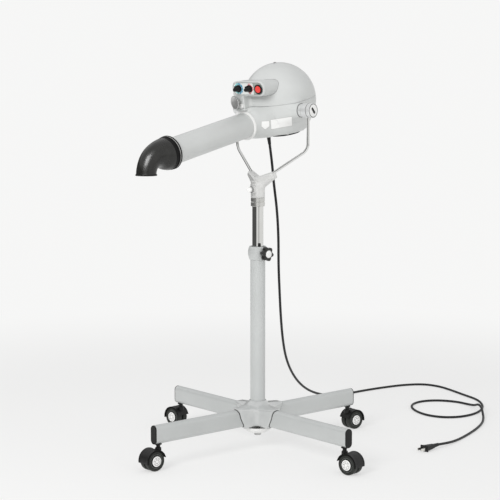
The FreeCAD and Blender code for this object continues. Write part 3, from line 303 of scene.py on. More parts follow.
M["teal"] = finish_mat("teal_print", (0.16, 0.50, 0.53), (0.24, 0.62, 0.62), 0.0, (0.35, 0.5), tone=150.0)
M["blue"] = finish_mat("blue_print", (0.06, 0.27, 0.44), (0.13, 0.40, 0.54), 0.0, (0.35, 0.5), tone=150.0)
M["redmark"] = finish_mat("red_print", (0.55, 0.04, 0.05), (0.70, 0.09, 0.09), 0.0, (0.35, 0.5), tone=150.0)
M["pinkmark"] = finish_mat("pink_print", (0.70, 0.28, 0.30), (0.80, 0.38, 0.40), 0.0, (0.35, 0.5), tone=150.0)
M["whiteface"] = finish_mat("white_cap", (0.88, 0.88, 0.87), (0.93, 0.93, 0.92), 0.0, (0.25, 0.38), tone=80.0,
                            grain=900.0, strength=0.06, distance=0.00005)
M["label"] = finish_mat("bare_label", (0.88, 0.88, 0.87), (0.92, 0.92, 0.91), 0.0, (0.35, 0.5), tone=120.0)
M["labeledge"] = finish_mat("label_edge", (0.42, 0.42, 0.41), (0.52, 0.52, 0.51), 0.0, (0.4, 0.5), tone=120.0)
# pale grey that paints highlights on the black nozzle
M["highlightgrey"] = finish_mat("painted_highlight_grey", (0.34, 0.34, 0.33), (0.44, 0.44, 0.43), 0.0, (0.3, 0.5), tone=120.0)
# dark grey that paints shade in creases and joints
M["gapshade"] = finish_mat("shadow_gap", (0.16, 0.16, 0.16), (0.24, 0.24, 0.24), 0.0, (0.5, 0.6), tone=120.0)
M["dimple"] = finish_mat("cap_dimple", (0.26, 0.26, 0.25), (0.36, 0.36, 0.35), 0.0, (0.4, 0.5), tone=120.0)
M["hoodlip"] = finish_mat("hood_lip_black", (0.003, 0.003, 0.003), (0.005, 0.005, 0.005), 0.0, (0.45, 0.58),
                          tone=60.0, grain=900.0, strength=0.05, distance=0.0001, spec=0.12)
M["starblack"] = finish_mat("star_black", (0.010, 0.010, 0.009), (0.018, 0.018, 0.017), 0.0, (0.20, 0.32),
                            tone=60.0, grain=900.0, strength=0.06, distance=0.0001, spec=0.5)
M["trim"] = finish_mat("star_trim_grey", (0.45, 0.45, 0.44), (0.60, 0.60, 0.59), 0.6, (0.25, 0.4), tone=120.0)
M["discgrey"] = finish_mat("disc_grey", (0.46, 0.46, 0.46), (0.60, 0.60, 0.59), 0.7, (0.26, 0.38), tone=140.0)
M["nickel"] = finish_mat("plated_pins", (0.74, 0.73, 0.69), (0.84, 0.83, 0.79), 1.0, (0.16, 0.3), tone=90.0)
M["ringpaint"] = finish_mat("ring_paint", (0.80, 0.80, 0.79), (0.87, 0.87, 0.86), 0.05, (0.3, 0.42), tone=40.0,
                            grain=1800.0, strength=0.08, distance=0.00006)
M["tyreline"] = finish_mat("tyre_face_line", (0.10, 0.105, 0.10), (0.15, 0.155, 0.15), 0.0, (0.3, 0.42), tone=120.0)
M["rimblack"] = finish_mat("rim_black", (0.004, 0.004, 0.004), (0.008, 0.008, 0.008), 0.0, (0.42, 0.55),
                           tone=60.0, grain=900.0, strength=0.05, distance=0.0001, spec=0.14)
M["polished"] = finish_mat("polished_casting", (0.66, 0.66, 0.65), (0.77, 0.77, 0.76), 0.45, (0.30, 0.42),
                           tone=30.0, grain=700.0, strength=0.10, distance=0.0001)
M["hubcast"] = finish_mat("hub_casting", (0.56, 0.575, 0.57), (0.66, 0.67, 0.665), 0.5, (0.28, 0.42),
                          tone=30.0, grain=700.0, strength=0.16, distance=0.00015)
M["satin"] = finish_mat("satin_chrome", (0.62, 0.62, 0.60), (0.74, 0.74, 0.72), 1.0, (0.24, 0.36),
                        tone=40.0, grain=600.0, strength=0.08, distance=0.00006)
M["linegrey"] = finish_mat("joint_shadow", (0.07, 0.07, 0.07), (0.12, 0.12, 0.12), 0.0, (0.5, 0.6), tone=120.0)

CARRIED = {
    "base_hub": "cast", "hub_cap": "ringpaint", "hub_bolt": "steel", "leg_front_left": "leg",
    "leg_front_right": "leg", "leg_back_left": "leg", "leg_back_right": "leg", "leg_end_caps": "black",
    "leg_screws": "steel", "stem_sockets": "black", "outer_pole": "leg", "pole_collar": "leg",
    "pole_bush": "black", "plug": "black", "plug_pins": "nickel", "height_knob": "black",
    "height_knob_cap": "white", "mast_tube": "chrome", "mast_foot_plug": "black", "mast_collar": "satin",
    "yoke_casting": "cast", "yoke_rod_left": "rodchrome", "yoke_rod_right": "rodchrome",
    "rod_end_hubs": "cast", "swivel_screw": "whiteface", "tilt_screw_left": "steel", "tilt_knob_right": "cast",
    "upper_housing": "silver", "lower_housing": "silver", "control_panel": "silver", "switch_bezel": "black",
    "air_tube": "silver", "tube_collar": "silver", "intake_grille": "black", "motor_can": "steel",
    "motor_bracket": "steel", "heater_frame": "steel", "heater_coil": "coil", "cord_gland": "black",
    "pivot_bosses": "silver", "friction_washers": "cast", "housing_screws": "steel", "impeller": "grey",
    "motor_shaft": "steel", "elbow_nozzle": "gloss", "nozzle_rim": "gloss", "speed_knob": "black",
    "heat_knob": "black", "power_button": "red", "tube_lock_knob": "discgrey", "hanging_cord": "cord",
    "floor_cord": "cord",
}
for tag in ("front_left", "front_right", "back_left", "back_right"):
    CARRIED["caster_hood_" + tag] = "black"
    CARRIED["caster_wheels_" + tag] = "wheel"
for node, key in CARRIED.items():
    o = NODES[node]
    o.data.materials.clear()
    o.data.materials.append(M[key])

# ------------------------------------------------------------------ the cord, end to end
GLAND = HEAD @ Vector((-0.010, -0.013, -0.087))
DOWN = (HEAD.to_3x3() @ Vector((0, 0, -1))).normalized()
HANG = [tuple(c / MM for c in GLAND), tuple(c / MM for c in GLAND + DOWN * 0.046),
        (-8, 72, 681), (-5, 82, 612), (-8, 92, 538), (-18, 104, 464), (-34, 128, 390),
        (-58, 162, 318), (-86, 204, 248), (-118, 256, 186), (-143, 311, 134), (-166, 373, 90),
        (-188, 441, 55), (-206, 515, 28), (-217, 590, 10)]
FLOOR = [(-214, 664, 3.5), (-203, 738, 3.5), (-184, 812, 3.5), (-160, 880, 3.5), (-120, 931, 3.5),
         (-65, 935, 3.5), (-8, 913, 3.5), (60, 880, 3.5), (124, 852, 3.5), (172, 806, 3.5),
         (207, 750, 3.5), (223, 688, 3.5), (214, 628, 3.5), (180, 590, 3.5), (132, 582, 3.5),
         (84, 600, 3.5), (42, 632, 3.5), (15, 676, 3.5), (14, 726, 3.5), (44, 767, 3.5),
         (96, 786, 3.5), (143, 776, 4.0), (176, 757, 9.0), (197, 743, 18.0), (224, 717, 18.0),
         (244, 692, 9.0), (270, 655, 3.6), (298, 604, 3.5), (319, 547, 3.5), (335, 488, 3.5),
         (347, 430, 3.5), (355, 382, 4.5), (358, 338, 7.0), (354, 302, 9.5)]


def nurbs_curve(name, points, resolution=10):
    cd = bpy.data.curves.new(name, "CURVE")
    cd.dimensions = "3D"
    sp = cd.splines.new("NURBS")
    sp.points.add(len(points) - 1)
    for p, q in zip(sp.points, points):
        p.co = (q[0] * MM, q[1] * MM, q[2] * MM, 1.0)
    sp.order_u = 3
    sp.use_endpoint_u = True
    sp.resolution_u = resolution
    return cd, sp


def line_points(points, resolution=10):
    """The points of the smooth line itself, as Blender makes it."""
    cd, _ = nurbs_curve("line_tmp", points, resolution)
    ob = bpy.data.objects.new("line_tmp", cd)
    link(ob)
    me = bpy.data.meshes.new_from_object(ob)
    pts = [v.co.copy() for v in me.vertices]
    bpy.data.objects.remove(ob)
    bpy.data.curves.remove(cd)
    bpy.data.meshes.remove(me)
    if (pts[0] - Vector(points[0]) * MM).length > (pts[-1] - Vector(points[0]) * MM).length:
        pts.reverse()
    return pts


def mesh_tube(name, pts, radius, sides=12):
    """A closed round tube along pts, its section carried along without twist."""
    bm = bmesh.new()
    tangent = (pts[1] - pts[0]).normalized()
    side = tangent.orthogonal().normalized()
    rings = []
    for i, p in enumerate(pts):
        t = (pts[min(i + 1, len(pts) - 1)] - pts[max(i - 1, 0)]).normalized()
        side = (side - t * side.dot(t)).normalized()
        up = t.cross(side)
        rings.append([bm.verts.new(p + (side * math.cos(2 * math.pi * k / sides) +
                                        up * math.sin(2 * math.pi * k / sides)) * radius)
                      for k in range(sides)])
    for a, b in zip(rings, rings[1:]):
        for k in range(sides):
            bm.faces.new((a[k], a[(k + 1) % sides], b[(k + 1) % sides], b[k]))
    bm.faces.new(list(reversed(rings[0])))
    bm.faces.new(rings[-1])
    for f in bm.faces:
        f.smooth = len(f.verts) == 4
    me = bpy.data.meshes.new(name)
    bm.to_mesh(me)
    bm.free()
    return link(bpy.data.objects.new(name, me))


line = line_points(HANG + FLOOR, 12)


def cut_at(test):
    return next(i for i, p in enumerate(line) if test(i, p))


i1 = cut_at(lambda i, p: p.z < 0.668)
i2 = cut_at(lambda i, p: p.z < 0.330)
i3 = cut_at(lambda i, p: p.z < 0.0080 and p.y > 0.55)
CORD_D = 0.0066
parts = [("cord_upper", line[:i1 + 1]), ("cord_middle", line[i1:i2 + 1]),
         ("cord_lower", line[i2:i3 + 1]), ("cord_floor_run", line[i3:])]
cords = {}
for name, pts in parts:
    o = mesh_tube(name, pts, CORD_D / 2, 14)
    o.data.materials.append(M["cord"])
    cords[name] = (o, pts)
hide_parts("hanging_cord")
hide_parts("floor_cord")
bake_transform(cords["cord_upper"][0])
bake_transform(cords["cord_middle"][0])
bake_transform(cords["cord_lower"][0])
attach(cords["cord_floor_run"][0], "base")
for name, far in (("cord_upper", "object"), ("cord_middle", "object"), ("cord_lower", "object"),
                  ("cord_floor_run", "plug")):
    o, pts = cords[name]

# ------------------------------------------------------------------ shapes
# A distance field gives a shape with true fillets: f(X, Y, Z) in mm, negative inside.


def smin(a, b, k):
    h = np.clip(0.5 + 0.5 * (b - a) / k, 0.0, 1.0)
    return b + (a - b) * h - k * h * (1.0 - h)


def smax(a, b, k):
    return -smin(-a, -b, k)


def mesh_of(name, verts, faces, key, place, smooth=True, sharp=None):
    """verts in mm in the frame of place; faces as index rows."""
    v = np.asarray(verts, dtype=float) * MM
    m = np.array(place)
    v = v @ m[:3, :3].T + m[:3, 3]
    me = bpy.data.meshes.new(name)
    me.from_pydata(v.tolist(), [], [list(map(int, f)) for f in faces])
    me.update()
    if smooth:
        me.polygons.foreach_set("use_smooth", [True] * len(me.polygons))
        if sharp:
            me.set_sharp_from_angle(angle=math.radians(sharp))
    o = link(bpy.data.objects.new(name, me))
    o.data.materials.append(M[key])
    return o


def nets(name, f, lo, hi, step, key, place, settle=3):
    """Surface of the field f inside the box lo..hi, one point per grid cell, settled onto f = 0."""
    ax = [np.arange(lo[i] - step, hi[i] + 2 * step, step) for i in range(3)]
    X, Y, Z = np.meshgrid(*ax, indexing="ij")
    d = f(X, Y, Z)
    s = d < 0
    n = [c - 1 for c in d.shape]
    corners = [(a, b, c) for a in (0, 1) for b in (0, 1) for c in (0, 1)]
    total = sum(s[a:a + n[0], b:b + n[1], c:c + n[2]].astype(np.int8) for a, b, c in corners)
    active = (total > 0) & (total < 8)
    cells = np.argwhere(active)
    index = np.full(active.shape, -1)
    index[active] = np.arange(len(cells))
    acc = np.zeros((len(cells), 3))
    hits = np.zeros(len(cells))
    for a in corners:
        for axis in range(3):
            if a[axis]:
                continue
            b = list(a)
            b[axis] = 1
            da = d[cells[:, 0] + a[0], cells[:, 1] + a[1], cells[:, 2] + a[2]]
            db = d[cells[:, 0] + b[0], cells[:, 1] + b[1], cells[:, 2] + b[2]]
            m = (da < 0) != (db < 0)
            t = da[m] / (da[m] - db[m])
            acc[m] += np.array(a) + t[:, None] * (np.array(b) - np.array(a))
            hits[m] += 1
    P = (cells + acc / hits[:, None]) * step + np.array([c[0] for c in ax])
    faces = []
    for axis in range(3):
        u, w = (axis + 1) % 3, (axis + 2) % 3
        g = [slice(None)] * 3
        g[axis] = slice(0, -1)
        g[u] = slice(1, -1)
        g[w] = slice(1, -1)
        first = s[tuple(g)]
        g2 = list(g)
        g2[axis] = slice(1, None)
        second = s[tuple(g2)]
        flip = np.argwhere(first != second)
        base = flip.copy()
        base[:, u] += 1
        base[:, w] += 1
        out = first[tuple(flip.T)]
        quad = []
        for du, dw in ((1, 1), (0, 1), (0, 0), (1, 0)):
            q = base.copy()
            q[:, u] -= du
            q[:, w] -= dw
            quad.append(index[tuple(q.T)])
        quad = np.stack(quad, 1)
        quad[~out] = quad[~out][:, ::-1]
        faces.append(quad)
    faces = np.concatenate(faces)
    e = 0.05
    for _ in range(settle):
        x, y, z = P.T
        val = f(x, y, z)
        g = np.stack([f(x + e, y, z) - f(x - e, y, z), f(x, y + e, z) - f(x, y - e, z),
                      f(x, y, z + e) - f(x, y, z - e)], 1) / (2 * e)
        move = g * (val / np.maximum((g * g).sum(1), 0.05))[:, None]
        far = np.linalg.norm(move, axis=1)
        move *= np.minimum(1.0, 0.45 * step / np.maximum(far, 1e-9))[:, None]
        P = P - move
    return mesh_of(name, P, faces, key, place)


def lathe(name, profile, key, place, segments=64, sharp=32, wobble=None):
    """Closed solid of revolution about the frame's Z; profile is (radius, height) in mm, upwards along
    the outside. wobble(angle) scales the radius."""
    verts, faces = [], []
    n = segments
    rows = []
    for r, h in profile:
        if r < 1e-6:
            rows.append([len(verts)])
            verts.append((0, 0, h))
        else:
            row = []
            for k in range(n):
                a = 2 * math.pi * k / n
                q = r * (wobble(a, r, h) if wobble else 1.0)
                row.append(len(verts))
                verts.append((q * math.cos(a), q * math.sin(a), h))
            rows.append(row)
    closed = len(rows[0]) > 1
    pairs = list(zip(rows, rows[1:]))
    if closed:
        pairs.append((rows[-1], rows[0]))
    for a, b in pairs:
        for k in range(n):
            j = (k + 1) % n
            if len(a) == 1 and len(b) == 1:
                continue
            if len(a) == 1:
                faces.append((a[0], b[j], b[k]))
            elif len(b) == 1:
                faces.append((a[k], a[j], b[0]))
            else:
                faces.append((a[k], a[j], b[j], b[k]))
    return mesh_of(name, verts, faces, key, place, sharp=sharp)


def tube_piece(name, points, radius, key, sides=10, cyclic=False, place=None):
    """Round bar along points (mm in the frame of place); radius is one number, or one for each point."""
    pts = [Vector(p) for p in points]
    n = len(pts)
    rad = radius if isinstance(radius, list) else [radius] * n
    rings, verts = [], []
    side = None
    for i in range(n):
        a = pts[(i - 1) % n] if cyclic else pts[max(i - 1, 0)]
        b = pts[(i + 1) % n] if cyclic else pts[min(i + 1, n - 1)]
        t = (b - a).normalized()
        side = t.orthogonal().normalized() if side is None else (side - t * side.dot(t)).normalized()
        up = t.cross(side)
        ring = []
        for k in range(sides):
            w = 2 * math.pi * k / sides
            ring.append(len(verts))
            verts.append(tuple(pts[i] + (side * math.cos(w) + up * math.sin(w)) * rad[i]))
        rings.append(ring)
    faces = []
    pairs = list(zip(rings, rings[1:]))
    if cyclic:
        # close on the turn of the section that twists least
        best = min(range(sides), key=lambda s: sum((Vector(verts[rings[-1][k]]) -
                   Vector(verts[rings[0][(k + s) % sides]])).length for k in range(sides)))
        pairs.append((rings[-1], [rings[0][(k + best) % sides] for k in range(sides)]))
    for a, b in pairs:
        for k in range(sides):
            faces.append((a[k], a[(k + 1) % sides], b[(k + 1) % sides], b[k]))
    if not cyclic:
        faces.append(list(reversed(rings[0])))
        faces.append(rings[-1])
    return mesh_of(name, verts, faces, key, place or Matrix.Identity(4), sharp=50)


def box_field(X, Y, Z, lo, hi, r):
    cx, cy, cz = [(a + b) / 2 for a, b in zip(lo, hi)]
    hx, hy, hz = [(b - a) / 2 - r for a, b in zip(lo, hi)]
    qx, qy, qz = np.abs(X - cx) - hx, np.abs(Y - cy) - hy, np.abs(Z - cz) - hz
    out = np.sqrt(np.maximum(qx, 0) ** 2 + np.maximum(qy, 0) ** 2 + np.maximum(qz, 0) ** 2)
    return out + np.minimum(np.maximum(qx, np.maximum(qy, qz)), 0) - r


def frame_at(origin, z_axis, x_hint=(0, 0, 1)):
    """Matrix of a frame in metres whose Z lies along z_axis; origin in mm."""
    z = Vector(z_axis).normalized()
    x = Vector(x_hint)
    x = (x - z * x.dot(z)).normalized()
    y = z.cross(x)
    m = Matrix((x, y, z)).transposed().to_4x4()
    m.translation = Vector(origin) * MM
    return m


def stand_in(piece, body, *nodes):
    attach(piece, body)
    if nodes:
        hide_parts(*nodes)
    return piece


# ---- head housings
BOWL_Z = [-63.0, -58.0, -48.0, -32.0, -18.0, -5.0, 9.0, 20.0, 34.0]
BOWL_R = [57.5, 62.8, 68.6, 77.4, 84.6, 89.8, 92.4, 92.9, 92.7]
ZT = np.linspace(-63, 34, 200)
RT = np.polyval(np.polyfit(BOWL_Z, BOWL_R, 5), ZT)
ST = np.gradient(RT, ZT)


def flare(X, Y, Z):
    """The housing swells into the two pivot bosses."""
    ax = np.abs(X)
    rho = np.sqrt(Y ** 2 + Z ** 2)
    cone = (rho - (17.0 + np.maximum(97.0 - ax, 0) * 0.42)) * 0.92
    return np.maximum(smax(cone, ax - 97.0, 1.2), 48.0 - ax)


def bowl(X, Y, Z):
    r = np.sqrt(X ** 2 + (Y - 37.0) ** 2)
    zc = np.clip(Z, -63, 34)
    slope = np.interp(zc, ZT, ST)
    d = (r - np.interp(zc, ZT, RT)) / np.sqrt(1 + slope ** 2)
    d = smax(d, -63.0 - Z, 2.5)
    rr = np.sqrt((X - TX) ** 2 + (Z - TZ) ** 2)
    stub = rr - (36.7 + np.clip(Y + 66.0, 0, 60) * 0.10)
    stub = smax(stub, -66.0 - Y, 1.2)
    stub = smax(stub, Y - 30.0, 2.0)
    d = smin(d, stub, 32.0)
    d = smin(d, box_field(X, Y, Z, (-52.0, -66.0, -20.0), (-19.5, 0.0, 40.0), 4.0), 7.0)
    d = smin(d, box_field(X, Y, Z, (-52.0, -79.0, 13.4), (-19.5, -40.0, 40.0), 4.0), 4.0)
    return smin(d, flare(X, Y, Z), 11.0)


def lower_field(X, Y, Z):
    d = bowl(X, Y, Z)
    d = np.maximum(d, -(d + 3.0))
    d = smax(d, Z - 19.99, 0.14)
    rr = np.sqrt((X - TX) ** 2 + (Z - TZ) ** 2)
    d = np.maximum(d, np.minimum(32.7 - rr, 20.0 - Y))
    return np.maximum(d, np.minimum(39.0 - np.sqrt(X ** 2 + (Y - 37.0) ** 2), -50.0 - Z))


def upper_field(X, Y, Z):
    dome = np.sqrt(X ** 2 + (Y - 37.0) ** 2 + (Z - 20.0) ** 2) - 92.9
    q = np.maximum(np.abs(X - 0.6) - (52.0 - 19.1), 0)
    drop = Z - 71.2 + 0.13 * (Y + 79.0)
    # flat oval, a little squarer than round so that its top edge shows
    pod = (q ** 2.5 + np.abs(drop) ** 2.5) ** 0.4 - 19.1
    pod = smax(pod, -79.0 - Y, 3.0)
    pod = smax(pod, Y - 30.0, 4.0)
    neck = box_field(X, Y, Z, (-52.0, -78.6, 8.0), (-19.5, 10.0, 70.0), 3.5)
    d = smin(dome, neck, 12.0)
    d = smin(d, pod, 1.6)
    d = smin(d, flare(X, Y, Z), 11.0)
    d = np.maximum(d, -(d + 3.0))
    return smax(d, 20.01 - Z, 0.14)


cover = nets("dome_cover", upper_field, (-95, -81, 18), (95, 132, 115), 1.5, "silver", HEAD)
stand_in(cover, "head", "upper_housing")
blower = nets("blower_bowl", lower_field, (-99, -81, -65), (99, 132, 22), 1.5, "silver", HEAD)
stand_in(blower, "head", "lower_housing", "pivot_bosses")
for o in (cover, blower, NODES["air_tube"], NODES["outer_pole"]):
    head_lit.objects.link(o)

# painted shade: a dark strand along the crease where the control pod meets the dome, from above its middle round its
# right end
crease = []
for i in range(61):
    t = math.radians(90.0 - 192.0 * i / 60)
    if i < 12:                       # along the flat top first
        cx, cz, t = 0.6 + (52.0 - 19.1) * (0.35 + 0.65 * i / 12), 1.0, math.radians(90.0)
    else:
        t = math.radians(90.0 - 185.0 * (i - 12) / 48)
        cx = 0.6 + (52.0 - 19.1)
    ct, st = math.cos(t), math.sin(t)
    k = 19.1 / (abs(ct) ** 2.5 + abs(st) ** 2.5) ** 0.4
    lo, hi = -79.0, 30.0
    for _ in range(40):
        y = (lo + hi) / 2
        px_, pz_ = cx + k * ct, 71.2 - 0.13 * (y + 79.0) + k * st
        if px_ ** 2 + (y - 37.0) ** 2 + (pz_ - 20.0) ** 2 > 92.9 ** 2:
            lo = y
        else:
            hi = y
    crease.append((px_ + 0.25 * ct, y - 0.35, pz_ + 0.25 * st))
fade = [0.12 + 0.43 * min(1.0, i / 14) for i in range(len(crease))]
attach(tube_piece("pod_crease_shade", crease, fade, "gapshade", 8, False, HEAD), "head")
# painted shadow along the joint between the two housings, darkest beside the neck's foot
seam = []
for i in range(33):
    a = math.radians(-100.5 + 33.0 * i / 32)
    seam.append((92.6 * math.cos(a), 37.0 + 92.6 * math.sin(a), 20.0))
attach(tube_piece("seam_shadow", seam, [0.95 - 0.75 * i / 32 for i in range(33)], "gapshade", 8, False, HEAD), "head")

# ---- yoke casting: a socket on the mast, an upper body and two faceted arms
TIPS = [Vector((s * 43.0, 17.2, 710.0)) for s in (1, -1)]


def arm_field(X, Y, Z, sgn):
    """Wedge seen from the front: flat top edge, steep lower edge, tapering to the rod."""
    x = X * sgn
    top = ((x - 0.0) * -17.0 + (Z - 699.5) * 44.0) / 47.2
    end = ((x - 38.5) * 0.94 + (Z - 712.0) * 0.342)
    low = ((x - 17.7) * 27.0 - (Z - 678.6) * 32.5) / 42.2
    yc = 17.5 * np.clip((x - 4.0) / 40.0, 0, 1.1)
    h = 13.0 - 4.6 * np.clip(x / 44.0, 0, 1.1)
    front = (yc - Y) * 0.93 - h
    back = (Y - yc) * 0.93 - h
    d = smax(top, low, 1.2)
    d = smax(d, smax(front, back, 1.2), 1.4)
    d = smax(d, (top + front) * 0.7071 + 3.4, 0.9)
    d = smax(d, (low + front) * 0.7071 + 3.0, 0.9)
    d = smax(d, end, 1.6)
    return np.maximum(d, -2.0 - x)


def fork_field(X, Y, Z):
    r = np.sqrt(X ** 2 + Y ** 2)
    socket = smax(smax(r - 17.7, Z - 690.0, 3.0), 648.0 - Z, 1.4)
    body = smax(smax(r - 18.9 + np.maximum(Z - 680, 0) * 0.35, Z - 690.0, 5.0), 671.2 - Z, 1.2)
    d = np.minimum(socket, body)
    for sgn in (1, -1):
        d = smin(d, smax(arm_field(X, Y, Z, sgn), 671.2 - Z, 1.0), 1.5)
    boss = np.sqrt(X ** 2 + (Z - 669.5) ** 2) - 7.4
    boss = smax(boss, -Y - 25.0, 1.0)
    boss = np.maximum(boss, Y)
    d = smin(d, boss, 2.0)
    return smax(d, np.minimum(14.06 - r, 681.0 - Z), 0.8)


fork = nets("yoke_fork", fork_field, (-54, -27, 646), (54, 34, 724), 1.0, "polished", Matrix.Identity(4))
stand_in(fork, "yoke", "yoke_casting")
# painted shade: a dark ring round the edge of the swivel screw's boss
ball = [(7.3 * math.cos(2 * math.pi * k / 40), -25.3, 669.5 + 7.3 * math.sin(2 * math.pi * k / 40)) for k in range(40)]
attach(tube_piece("screw_rim_shade", ball, 0.95, "gapshade", 8, True), "yoke")

# ---- star hub of the base
ENDS_Z = [58.0, 61.0, 66.0, 78.0, 89.5, 101.0, 112.0, 118.0]
ENDS_R = [48.5, 50.0, 53.5, 61.0, 66.2, 69.6, 75.0, 77.5]


def hub_field(X, Y, Z):
    ax, ay = np.abs(X), np.abs(Y)
    u, v = np.maximum(ax, ay), np.minimum(ax, ay)
    r = np.sqrt(X ** 2 + Y ** 2)
    zc = np.clip(Z, 58, 118)
    end = np.interp(zc, ENDS_Z, ENDS_R)
    rv = 30.0 + (zc - 61.0) / 50.0 * 13.0
    c = 0.70711
    bx, by = rv * c + 5.2 * c, rv * c - 5.2 * c
    # side face from the sleeve's corner (end, 14) to the valley strip
    ex, ey = bx - end, by - 14.0
    ln = np.sqrt(ex ** 2 + ey ** 2)
    side = (-(u - end) * ey + (v - 14.0) * ex) / ln * -1.0
    valley = (u + v) * c - rv
    d = smin(side, valley, 2.0)
    d = smax(d, (u - end) * 0.93, 4.5)
    top = 117.6 - 0.085 * np.maximum(u - 27.0, 0) - 0.40 * np.maximum(v - 9.5, 0)
    d = smax(d, Z - top, 4.0)
    neck = (r - (21.4 + np.maximum(127.0 - Z, 0) * 0.85)) * 0.76
    neck = smax(neck, Z - 127.0, 1.0)
    neck = np.maximum(neck, 104.0 - Z)
    d = smin(d, neck, 3.0)
    d = smax(d, 61.0 + 3.4 * np.clip((v - 11.0) / 9.0, 0, 1) - Z, 1.6)
    return smax(d, 19.1 - r, 0.5)


hub = nets("star_hub", hub_field, (-80, -80, 59), (80, 80, 129), 1.3, "hubcast", BASE)
stand_in(hub, "base", "base_hub")

# painted shadow: a dark strand in the gap where each leg leaves its sleeve
for k, tag in enumerate(("front_left", "front_right", "back_right", "back_left")):
    pts = []
    for i in range(48):
        a = 2 * math.pi * i / 48
        cx, cz = math.cos(a), math.sin(a)
        z = 87.0 + math.copysign(13.0, cz) + 10.9 * cz if abs(cz) > 1e-9 else 87.0
        x = 10.9 * cx
        pts.append((x, -float(np.interp(z, ENDS_Z, ENDS_R)) - 0.35, z))
    m = BASE @ Matrix.Rotation(math.radians(90 * k), 4, "Z")
    gap_shade = tube_piece("sleeve_gap_shade_" + tag, pts, 0.95, "black", 8, True, m)
    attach(gap_shade, "base")

# ---- elbow nozzle
SECT = [((-292.0, 729.6), (-308.1, 806.8)), ((-306.0, 731.5), (-322.6, 802.4)),
        ((-316.5, 736.0), (-340.2, 794.8)), ((-324.0, 738.0), (-357.2, 784.0)),
        ((-330.0, 737.5), (-371.8, 768.8)), ((-335.0, 734.0), (-381.5, 750.6)),
        ((-338.0, 728.5), (-386.2, 734.2)), ((-339.0, 720.6), (-387.2, 720.6))]


def smooth_rows(rows, per):
    """Catmull-Rom through rows of numbers."""
    rows = [np.array(r, dtype=float) for r in rows]
    ext = [2 * rows[0] - rows[1]] + rows + [2 * rows[-1] - rows[-2]]
    out = []
    for i in range(1, len(ext) - 2):
        p0, p1, p2, p3 = ext[i - 1:i + 3]
        for s in range(per):
            t = s / per
            out.append(0.5 * ((2 * p1) + (p2 - p0) * t + (2 * p0 - 5 * p1 + 4 * p2 - p3) * t ** 2 +
                              (3 * p1 - p0 - 3 * p2 + p3) * t ** 3))
    out.append(rows[-1])
    return out


def elbow_mesh():
    rows = smooth_rows([(*a, *b) for a, b in SECT], 6)
    n = 72
    verts, faces, rings = [], [], []

    def ring(iy, iz, oy, oz, extra, drop=0.0):
        c = Vector((TX, (iy + oy) / 2, (iz + oz) / 2 - drop))
        d = Vector((0, oy - iy, oz - iz))
        r = d.length / 2 + extra
        d.normalize()
        row = []
        for k in range(n):
            a = 2 * math.pi * k / n
            row.append(len(verts))
            verts.append(tuple(c + d * (math.cos(a) * r) + Vector((1, 0, 0)) * (math.sin(a) * r)))
        rings.append(row)
    for q in rows[:-3]:
        ring(*q, 0.0)
    e = rows[-1]
    ring(*rows[-3], 0.15)
    for extra, drop in ((0.3, -3.4), (0.4, -1.2), (0.2, -0.6), (-1.2, -0.6), (-1.7, -0.9)):
        ring(*e, extra, drop)
    for q in reversed(rows[:-3]):
        ring(*q, -2.4)
    for a, b in zip(rings, rings[1:] + rings[:1]):
        for k in range(n):
            faces.append((a[k], b[k], b[(k + 1) % n], a[(k + 1) % n]))
    o = mesh_of("elbow_shell", verts, faces, "gloss", Matrix.Identity(4), sharp=38)
    bm = bmesh.new()
    bm.from_mesh(o.data)
    bmesh.ops.recalc_face_normals(bm, faces=bm.faces[:])
    bm.to_mesh(o.data)
    bm.free()
    return o


shell = elbow_mesh()
stand_in(shell, "nozzle", "elbow_nozzle")
lit.objects.link(shell)
oy_, oz_ = (SECT[-1][0][0] + SECT[-1][1][0]) / 2, SECT[-1][0][1]
OUTLET = Matrix.Translation((TX * MM, oy_ * MM, oz_ * MM))
o = lathe("outlet_lip", [(22.6, 0.1), (24.4, -0.2), (25.6, 0.1), (26.1, 0.7), (26.0, 1.6), (25.2, 2.6), (24.3, 3.2), (22.6, 3.2)],
          "rimblack", OUTLET, 72)
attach(o, "nozzle")
# painted highlight: a pale grey ring along the outlet's lower edge
o = tube_piece("outlet_edge_highlight", [(TX + 24.9 * math.cos(2 * math.pi * k / 64), oy_ + 24.9 * math.sin(2 * math.pi * k / 64), oz_ - 0.1)
                               for k in range(64)], 0.75, "highlightgrey", 8, True)
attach(o, "nozzle")
TUBE = HEAD @ Matrix.Translation((TX * MM, 0, TZ * MM)) @ Matrix.Rotation(math.radians(90), 4, "X")
# the frame TUBE has its Z along the air tube, towards the nozzle
cap = lathe("elbow_socket", [(32.7, 353.7), (40.4, 353.7), (41.0, 354.1), (41.1, 356.0), (40.7, 356.9), (39.6, 357.4),
                             (39.4, 362.0), (39.0, 364.4), (37.6, 365.4), (35.0, 365.6), (32.7, 365.4)],
            "rimblack", TUBE, 96)
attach(cap, "nozzle")
rimring = lathe("socket_rim", [(32.7, 347.4), (40.0, 347.4), (41.1, 347.8), (41.5, 348.6), (41.5, 350.4), (41.1, 351.2),
                               (40.2, 351.6), (32.7, 351.6)], "rimblack", TUBE, 96)
stand_in(rimring, "nozzle", "nozzle_rim")
# painted highlight: a pale grey band between the socket's rim and its cap, where the gloss catches light
lip = lathe("socket_highlight_band", [(32.7, 351.6), (40.6, 351.6), (40.9, 352.0), (40.9, 353.3), (40.6, 353.7), (32.7, 353.7)],
            "highlightgrey", TUBE, 96)
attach(lip, "nozzle")
collar = lathe("tube_ring", [(32.6, 65.9), (36.4, 65.9), (37.6, 66.4), (38.1, 67.5), (38.1, 69.4), (37.5, 70.4),
                             (36.0, 71.0), (32.6, 71.2)], "ringpaint", TUBE, 96)
stand_in(collar, "head", "tube_collar")


# ---- control panel: a bordered plate with a pale field, a grey field and the marks round the controls
FACE = -79.0


